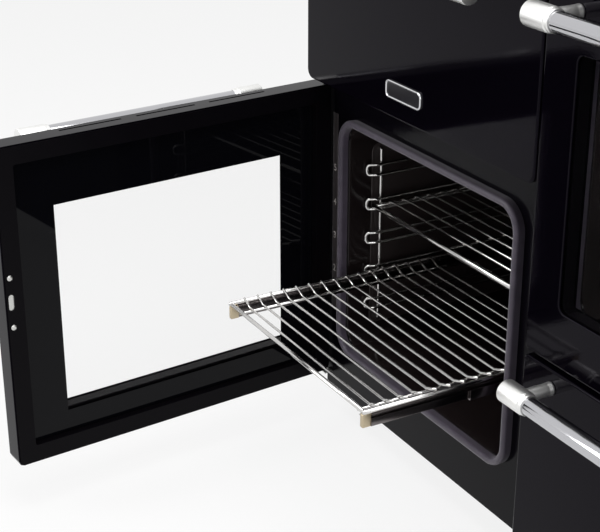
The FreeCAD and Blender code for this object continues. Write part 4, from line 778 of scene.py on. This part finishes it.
# ---------------------------- pull-out shelf
# A dished shelf of chromed wire: sixteen cross wires arch over the two side rods and dip
# between them, over two thin runners; the back bar is raised as a stop.
wire_r, shelf_depth, shelf_dip, wire_count = 1.8, 374.0, 9.0, 16
kink_in = 22.0                                  # from a side rod to the wires' lower run
side_x = rail_x + rail_step + 5.0
far_x = 2 * oven_mid_x - side_x
side_z = ledge_z + side_r
y0, y1 = shelf_front_y + side_r, shelf_front_y + shelf_depth - side_r
over_z = side_z + side_r + wire_r
wire_z = over_z - shelf_dip
back_z = side_z + 13.0
runner_z = wire_z - 2 * wire_r

wires = [
    tube([(side_x, y0 - side_r, side_z), (side_x, y1 + side_r, side_z)], side_r, sides=18),
    tube([(far_x, y0 - side_r, side_z), (far_x, y1 + side_r, side_z)], side_r, sides=18),
    tube([(side_x + side_r, y0, side_z), (far_x - side_r, y0, side_z)], side_r, (0, 0, 1), 18),
    tube(bend([(side_x + side_r, y1, side_z), (side_x + 25, y1, back_z), (far_x - 25, y1, back_z),
               (far_x - side_r, y1, side_z)], 9), side_r, (0, 1, 0), 18),
]
for x in (side_x + kink_in, far_x - kink_in):
    wires.append(tube([(x, y0 + side_r, runner_z), (x, y1 - side_r, runner_z)], wire_r, sides=12))
for i in range(1, wire_count + 1):
    y = y0 + i * (y1 - y0) / (wire_count + 1)
    wires.append(tube(bend([(side_x, y, over_z), (side_x + kink_in, y, wire_z),
                            (far_x - kink_in, y, wire_z), (far_x, y, over_z)], 14),
                      wire_r, (0, 1, 0), 12))
piece("drawn_wire_shelf", wires, chrome_wire, "drawn_shelf", ["pull_out_shelf"],
      crisp=70)


# ---------------------------- flat wire shelves
# The main oven's upper shelf and the second oven's shelf: side rods between a front bar
# and a back rod, with straight cross wires welded on top.
def flat_shelf(x0, x1, y0, y1, z, count, bar_r):
    """Rods of a flat shelf, all flush underneath."""
    r = side_r
    ya, yb = y0 + 2 * bar_r, y1 - 2 * r
    rods = [tube([(x0 + r, ya - 1, z), (x0 + r, yb + 1, z)], r, sides=16),
            tube([(x1 - r, ya - 1, z), (x1 - r, yb + 1, z)], r, sides=16),
            tube([(x0, y0 + bar_r, z - r + bar_r), (x1, y0 + bar_r, z - r + bar_r)], bar_r,
                 (0, 0, 1), 18),
            tube([(x0, y1 - r, z), (x1, y1 - r, z)], r, (0, 0, 1), 16),
            tube([((x0 + x1) / 2, ya - 1, z + r - wire_r), ((x0 + x1) / 2, yb + 1, z + r - wire_r)],
                 wire_r, sides=12)]
    for i in range(1, count + 1):
        y = ya + i * (yb - ya) / (count + 1)
        rods.append(tube([(x0 + 1, y, z + r + wire_r), (x1 - 1, y, z + r + wire_r)], wire_r,
                         (0, 0, 1), 12))
    return rods


piece("upper_wire_shelf", flat_shelf(-434.5, -40.5, -225.0, 119.0, 365.25, 13, 3.6), chrome_wire,
      "upper_shelf", ["upper_shelf"], crisp=70)
piece("second_wire_shelf", flat_shelf(94.25, 445.25, -200.0, 130.0, 525.0, 11, 3.0), chrome_wire,
      "second_shelf", ["second_oven_shelf"], crisp=70)


# ---------------------------- plate on the grill door
# A small bright-rimmed plate with cut corners, riveted to the grill door; its dark
# enamelled field is bare.
plate = (-282.75, -198.75, 588.5, 613.5)
plate_corner_r = 8.5
plate_face = [(3.2, front_y - 1.5), (3.0, front_y - 1.5), (2.7, front_y - 2.2),
              (2.2, front_y - 2.9), (1.4, front_y - 3.0), (0.7, front_y - 2.8),
              (0.15, front_y - 2.0), (0, front_y - 0.6), (0, front_y)]
plated_rim = Finish("plated_rim", Base_Color=(0.66, 0.66, 0.68), Metallic=1.0)
plated_rim.set(Roughness=0.09 + plated_rim.noise(200.0) * 0.06)
piece("plate_rim", [woven(rings(plate, plate_corner_r, plate_face), caps=True)], plated_rim,
      "grill_door", ["door_plate"])
field = Finish("plate_field", Base_Color=(0.012, 0.011, 0.014), Coat_Weight=0.6)
field.set(Roughness=0.25 + field.noise(160.0) * 0.1)
field_face = [(3.1, front_y - 1.4), (3.1, front_y - 1.7), (3.6, front_y - 1.75)]
piece("plate_field", [woven(rings(plate, plate_corner_r, field_face), caps=True)], field,
      "grill_door")


# ---------------------------- fan, elements and grill pan
# Behind the fan cover, a pressed fan on its motor's shaft inside a ring element; under
# the roofs of the grill and the second oven, hairpin elements; in the grill, a deep pan.
hot_steel = Finish("hot_steel", Metallic=0.85)
heat = hot_steel.noise(22.0, 3.0)
hot_steel.set(Base_Color=hot_steel.blend(heat, (0.055, 0.045, 0.038), (0.16, 0.125, 0.10)))
hot_steel.set(Roughness=0.42 + heat * 0.2)
fan_steel = Finish("fan_steel", Base_Color=(0.50, 0.50, 0.49), Metallic=1.0)
fan_steel.set(Roughness=0.32 + fan_steel.noise(90.0) * 0.15)
motor_zinc = Finish("motor_zinc", Base_Color=(0.46, 0.46, 0.45), Metallic=0.9)
motor_zinc.set(Roughness=0.42 + motor_zinc.noise(70.0) * 0.2)
dress(fan_steel, "oven_fan", bevel=0.3)
dress(motor_zinc, "fan_motor", bevel=1.0)

ring_r, ring_y, stub_y = 92.0, 217.0, 230.0
t = np.radians(np.linspace(100, 440, 61))
ring_line = np.stack([oven_mid_x + ring_r * np.cos(t), np.full(len(t), ring_y),
                      320.0 + ring_r * np.sin(t)], 1)
ring_parts = [tube(ring_line, 3.2, (0, 1, 0), 12)]
for end in (ring_line[0], ring_line[-1]):
    ring_parts.append(tube([end, (end[0], stub_y, end[2])], 3.2, (1, 0, 0), 12))
piece("ring_heater", ring_parts, hot_steel, "cooker", ["ring_element"], crisp=70)


def hairpins(x0, x1, roof_z, back_y):
    """A heating tube laid in eight parallel runs under a roof."""
    xa, pitch, z = x0 + 50, (x1 - x0 - 100) / 7, roof_z - 14
    near, far = frame_y + 60, frame_y + 320
    line = [(xa, back_y, z), (xa, near, z)]
    for i in range(1, 8):
        line += [(xa + i * pitch, y, z) for y in ((near, far) if i % 2 else (far, near))]
    line[-1] = (line[-1][0], back_y, z)
    return tube(bend(line, pitch * 0.48, 8), 3.5, (0, 0, 1), 12)


piece("roof_heaters", [hairpins(main_oven[0], main_oven[1], 760.0, 110.0),
                       hairpins(second_oven[0], second_oven[1], 756.0, 170.0)],
      hot_steel, "cooker", ["roof_elements"], crisp=70)
dress(oven_enamel, "grill_pan", bevel=0.5)


# ---------------------------- drawer box and body
# The drawer's box, the base tray, the side, centre and back panels are folded from
# galvanised sheet; the outer sides are enamelled black like the fronts.
spangled = Finish("spangled_zinc", Metallic=0.95)
cell = spangled.node("ShaderNodeTexVoronoi", {"feature": "F1"}, {"Vector": spangled.place(),
                                                               "Scale": 130.0}, 1)
grey = spangled.node("ShaderNodeSeparateColor", {}, {0: cell}, 0)
spangled.set(Base_Color=spangled.blend(grey, (0.40, 0.41, 0.43), (0.54, 0.55, 0.57)))
spangled.set(Roughness=0.30 + grey * 0.16 + spangled.noise(14.0) * 0.08)
dress(spangled, "base_tray", "centre_partition", "back_panel", "drawer_box", "drawer_runners",
      bevel=0.4)
side_enamel = Finish("side_enamel", Base_Color=(0.004, 0.0035, 0.005), Specular_IOR_Level=0.1)
side_enamel.set(Roughness=0.2 + side_enamel.noise(12.0) * 0.08)
side_enamel.relief(side_enamel.noise(240.0), 0.08, 0.0005)
dress(side_enamel, "side_panels", bevel=0.6)


# ---------------------------- feet
# Four threaded feet: a moulded pad on a zinc plated stem with a hexagon under the tray.
foot_zinc = Finish("foot_zinc", Base_Color=(0.50, 0.50, 0.50), Metallic=1.0)
foot_zinc.set(Roughness=0.30 + foot_zinc.noise(120.0) * 0.2)
dress(foot_zinc, "feet", bevel=0.5)


# ---------------------------- controls
# A long enamelled panel with eight knobs on tap and switch spindles and a clock in the
# middle; the knobs are turned, with a flat grip across them and a pale pointer line.
knob_z, knob_gap, skirt_height = 849.0, 1.2, 7.0
knob_xs = [-440.0, -350.0, -260.0, -170.0, 170.0, 260.0, 350.0, 440.0]
dress(gloss_enamel, "control_panel", bevel=1.4, segments=3)
dress(bright_zinc, "taps_and_switches", bevel=0.3)

knob_black = Finish("knob_black", Base_Color=(0.008, 0.008, 0.009), Specular_IOR_Level=0.2)
knob_black.set(Roughness=0.22 + knob_black.noise(160.0) * 0.1)
knob_rim = Finish("knob_rim", Base_Color=(0.55, 0.55, 0.55), Metallic=1.0)
knob_rim.set(Roughness=0.16 + knob_rim.noise(140.0) * 0.08)
line_ink = Finish("line_ink", Base_Color=(0.78, 0.78, 0.76))
line_ink.set(Roughness=0.4 + line_ink.noise(200.0) * 0.1)


def grip(x):
    """A knob's body: radius falls along the axis and is squeezed flat across the grip;
    half width across = min(r |sin t|, flat) with flat falling from the skirt to the crown."""
    back = front_y - knob_gap - skirt_height
    along = np.array([0, 0.4, 1.2, 3, 6, 10, 14, 17, 18.6, 19.5, 20.0, 20.0])
    radius = np.array([17.4, 17.2, 16.9, 16.6, 16.2, 15.8, 15.4, 14.9, 14.3, 13.4, 12.0, 0.0])
    waist = np.array([17.4, 16.0, 13.0, 10.5, 9.2, 8.6, 8.2, 7.8, 7.3, 6.6, 5.6, 0.0])
    t = np.linspace(0, 2 * math.pi, 72, endpoint=False)
    a = np.clip(radius[:, None] * np.cos(t), -waist[:, None], waist[:, None])
    b = radius[:, None] * np.sin(t)
    grid = np.stack([x + a, np.broadcast_to(back - along[:, None], a.shape), knob_z + b], 2)
    return woven(grid)


for number, x in enumerate(knob_xs, 1):
    body = "knob_%d" % number
    back = front_y - knob_gap
    skirt = lathe((x, back, knob_z), (0, -1, 0), (
        (0, 0), (0, 22.6), (4.5, 22.6), (skirt_height, 20.6), (skirt_height, 0)), 64, 0.8)
    piece(body + "_skirt", [skirt], knob_rim, body, [body])
    piece(body + "_grip", [grip(x)], knob_black, body, [body])
    line = block(x - 0.8, x + 0.8, back - 27.25, back - 26.0, knob_z + 2.0, knob_z + 13.0, 0.2)
    piece(body + "_line", [line], line_ink, body, crisp=30)

clock_glass = Finish("clock_glass", Base_Color=(0.004, 0.004, 0.005), Roughness=0.03)
clock_glass.set(Roughness=0.02 + clock_glass.noise(30.0) * 0.03)
dress(clock_glass, "clock", bevel=0.5)
outline = (-65.0, 65.0, knob_z - 22.0, knob_z + 22.0)
piece("clock_rim", [woven(rings(outline, 6.0, [(3.0, front_y - 1.55), (2.6, front_y - 1.6),
      (1.6, front_y - 1.6), (0.4, front_y - 1.3), (0.05, front_y - 0.7), (0.05, front_y - 0.1),
      (3.0, front_y - 0.1)]), along=True)], plated_rim, "cooker")

tick_r, tick_half = 26.0, 0.45
ticks = []
for x in knob_xs:
    for step in range(7):
        a = math.radians(-120 + 40 * step)
        long = 5.0 if step in (0, 3, 6) else 3.2
        out = np.array([math.sin(a), math.cos(a)])
        wide = np.array([out[1], -out[0]]) * tick_half
        near, far = out * tick_r, out * (tick_r + long)
        ends = [near - wide, far - wide, far + wide, near + wide]
        spots = [(x + e[0], y, knob_z + e[1])
                 for y in (front_y - print_height, front_y + 0.3) for e in ends]
        ticks.append((np.array(spots), [(0, 1, 2, 3), (7, 6, 5, 4), (0, 4, 5, 1), (1, 5, 6, 2),
                                        (2, 6, 7, 3), (3, 7, 4, 0)]))
piece("dial_ticks", ticks, line_ink, "cooker", crisp=30)


# ---------------------------- gas pipe and terminals
# A brass manifold behind the taps, with its union tail at the back, and the moulded box
# low down behind where the cable is connected.
pipe_brass = Finish("pipe_brass", Metallic=1.0)
pipe_brass.set(Base_Color=pipe_brass.blend(pipe_brass.noise(40.0), (0.56, 0.42, 0.22),
                                           (0.66, 0.52, 0.30)))
pipe_brass.set(Roughness=0.26 + pipe_brass.noise(90.0) * 0.2)
dress(pipe_brass, "gas_pipe", bevel=0.4)
moulded = Finish("moulded_box", Base_Color=(0.56, 0.56, 0.54))
moulded.set(Roughness=0.52 + moulded.noise(300.0) * 0.12)
moulded.relief(moulded.noise(1400.0), 0.15, 0.0003)
dress(moulded, "terminal_box", bevel=1.6, segments=3)


# ---------------------------- hob
# A pressed black enamelled hob with a raised rim and a vent at the back; each burner is
# a cast alloy crown with ports round it under a matt enamelled cap.
plate_top_z = 910.0
burners = [(-326.667, -120.0, 36.0), (-326.667, 110.0, 46.0), (0.0, 0.0, 62.0),
           (326.667, -120.0, 26.0), (326.667, 110.0, 36.0)]
hob_enamel = Finish("hob_enamel", Specular_IOR_Level=0.12)
fleck = hob_enamel.noise(1900.0, 1.0) > 0.68
hob_enamel.set(Base_Color=hob_enamel.blend(fleck, (0.005, 0.0045, 0.006), (0.030, 0.030, 0.031)))
hob_enamel.set(Roughness=0.13 + hob_enamel.noise(10.0) * 0.08)
hob_enamel.relief(hob_enamel.noise(240.0), 0.06, 0.0004)
dress(hob_enamel, "hob_top", bevel=1.6, segments=3)

cast_alloy = Finish("cast_alloy", Metallic=0.9)
cast_alloy.set(Base_Color=cast_alloy.blend(cast_alloy.noise(80.0), (0.34, 0.34, 0.34),
                                           (0.52, 0.52, 0.51)))
cast_alloy.set(Roughness=0.42 + cast_alloy.noise(260.0) * 0.2)
cast_alloy.relief(cast_alloy.noise(700.0), 0.2, 0.0005)
cap_enamel = Finish("cap_enamel", Base_Color=(0.008, 0.008, 0.008), Specular_IOR_Level=0.15)
cap_enamel.set(Roughness=0.38 + cap_enamel.noise(120.0) * 0.16)
cap_enamel.relief(cap_enamel.noise(900.0), 0.12, 0.0004)


def crown(x, y, r, ports):
    """A burner head: radius by height, with its rim notched where |cos(n t)| is small."""
    rows = [(16, -13.5, 0), (16, 0.2, 0), (r + 4, 0.2, 0), (r + 4, 1.6, 0), (r - 1, 4.0, 0),
            (r - 2, 6.0, 0), (r - 1.5, 8.0, 0), (r - 0.6, 10.0, 1), (r, 11.0, 1), (r, 13.6, 1),
            (r - 0.6, 14, 1), (r - 7, 14.0, 1), (r - 8, 13.9, 0), (0, 13.9, 0)]
    t = np.linspace(0, 2 * math.pi, ports * 16, endpoint=False)
    notch = (np.arange(ports * 16) % 16) < 4
    grid = []
    for radius, height, cut in rows:
        radii = np.where(notch & (cut == 1), min(radius, r - 4.0), radius)
        grid.append(np.stack([x + radii * np.cos(t), y + radii * np.sin(t),
                              np.full(len(t), plate_top_z + height)], 1))
    return woven(np.array(grid), caps=True)


heads, caps = [], []
for x, y, r in burners:
    heads.append(crown(x, y, r, int(r * 0.62)))
    c = r - 3.0
    caps.append(lathe((x, y, plate_top_z + 14.0), (0, 0, 1), (
        (0, 0), (0, c), (3.0, c), (4.4, c - 2.5), (4.95, c - 7), (4.6, c - 12), (4.6, 0)), 72, 0.9))
piece("burner_crowns", heads, cast_alloy, "cooker", ["burner_heads"], crisp=35)
piece("burner_lids", caps, cap_enamel, "cooker", ["burner_caps"])

iron = Finish("cast_iron", Specular_IOR_Level=0.14)
grain = iron.noise(900.0, 3.0)
iron.set(Base_Color=iron.blend(iron.noise(30.0), (0.009, 0.009, 0.010), (0.019, 0.019, 0.019)))
iron.set(Roughness=0.55 + grain * 0.2)
iron.relief(grain, 0.35, 0.0006)
dress(iron, "pan_supports", bevel=1.8, segments=3)
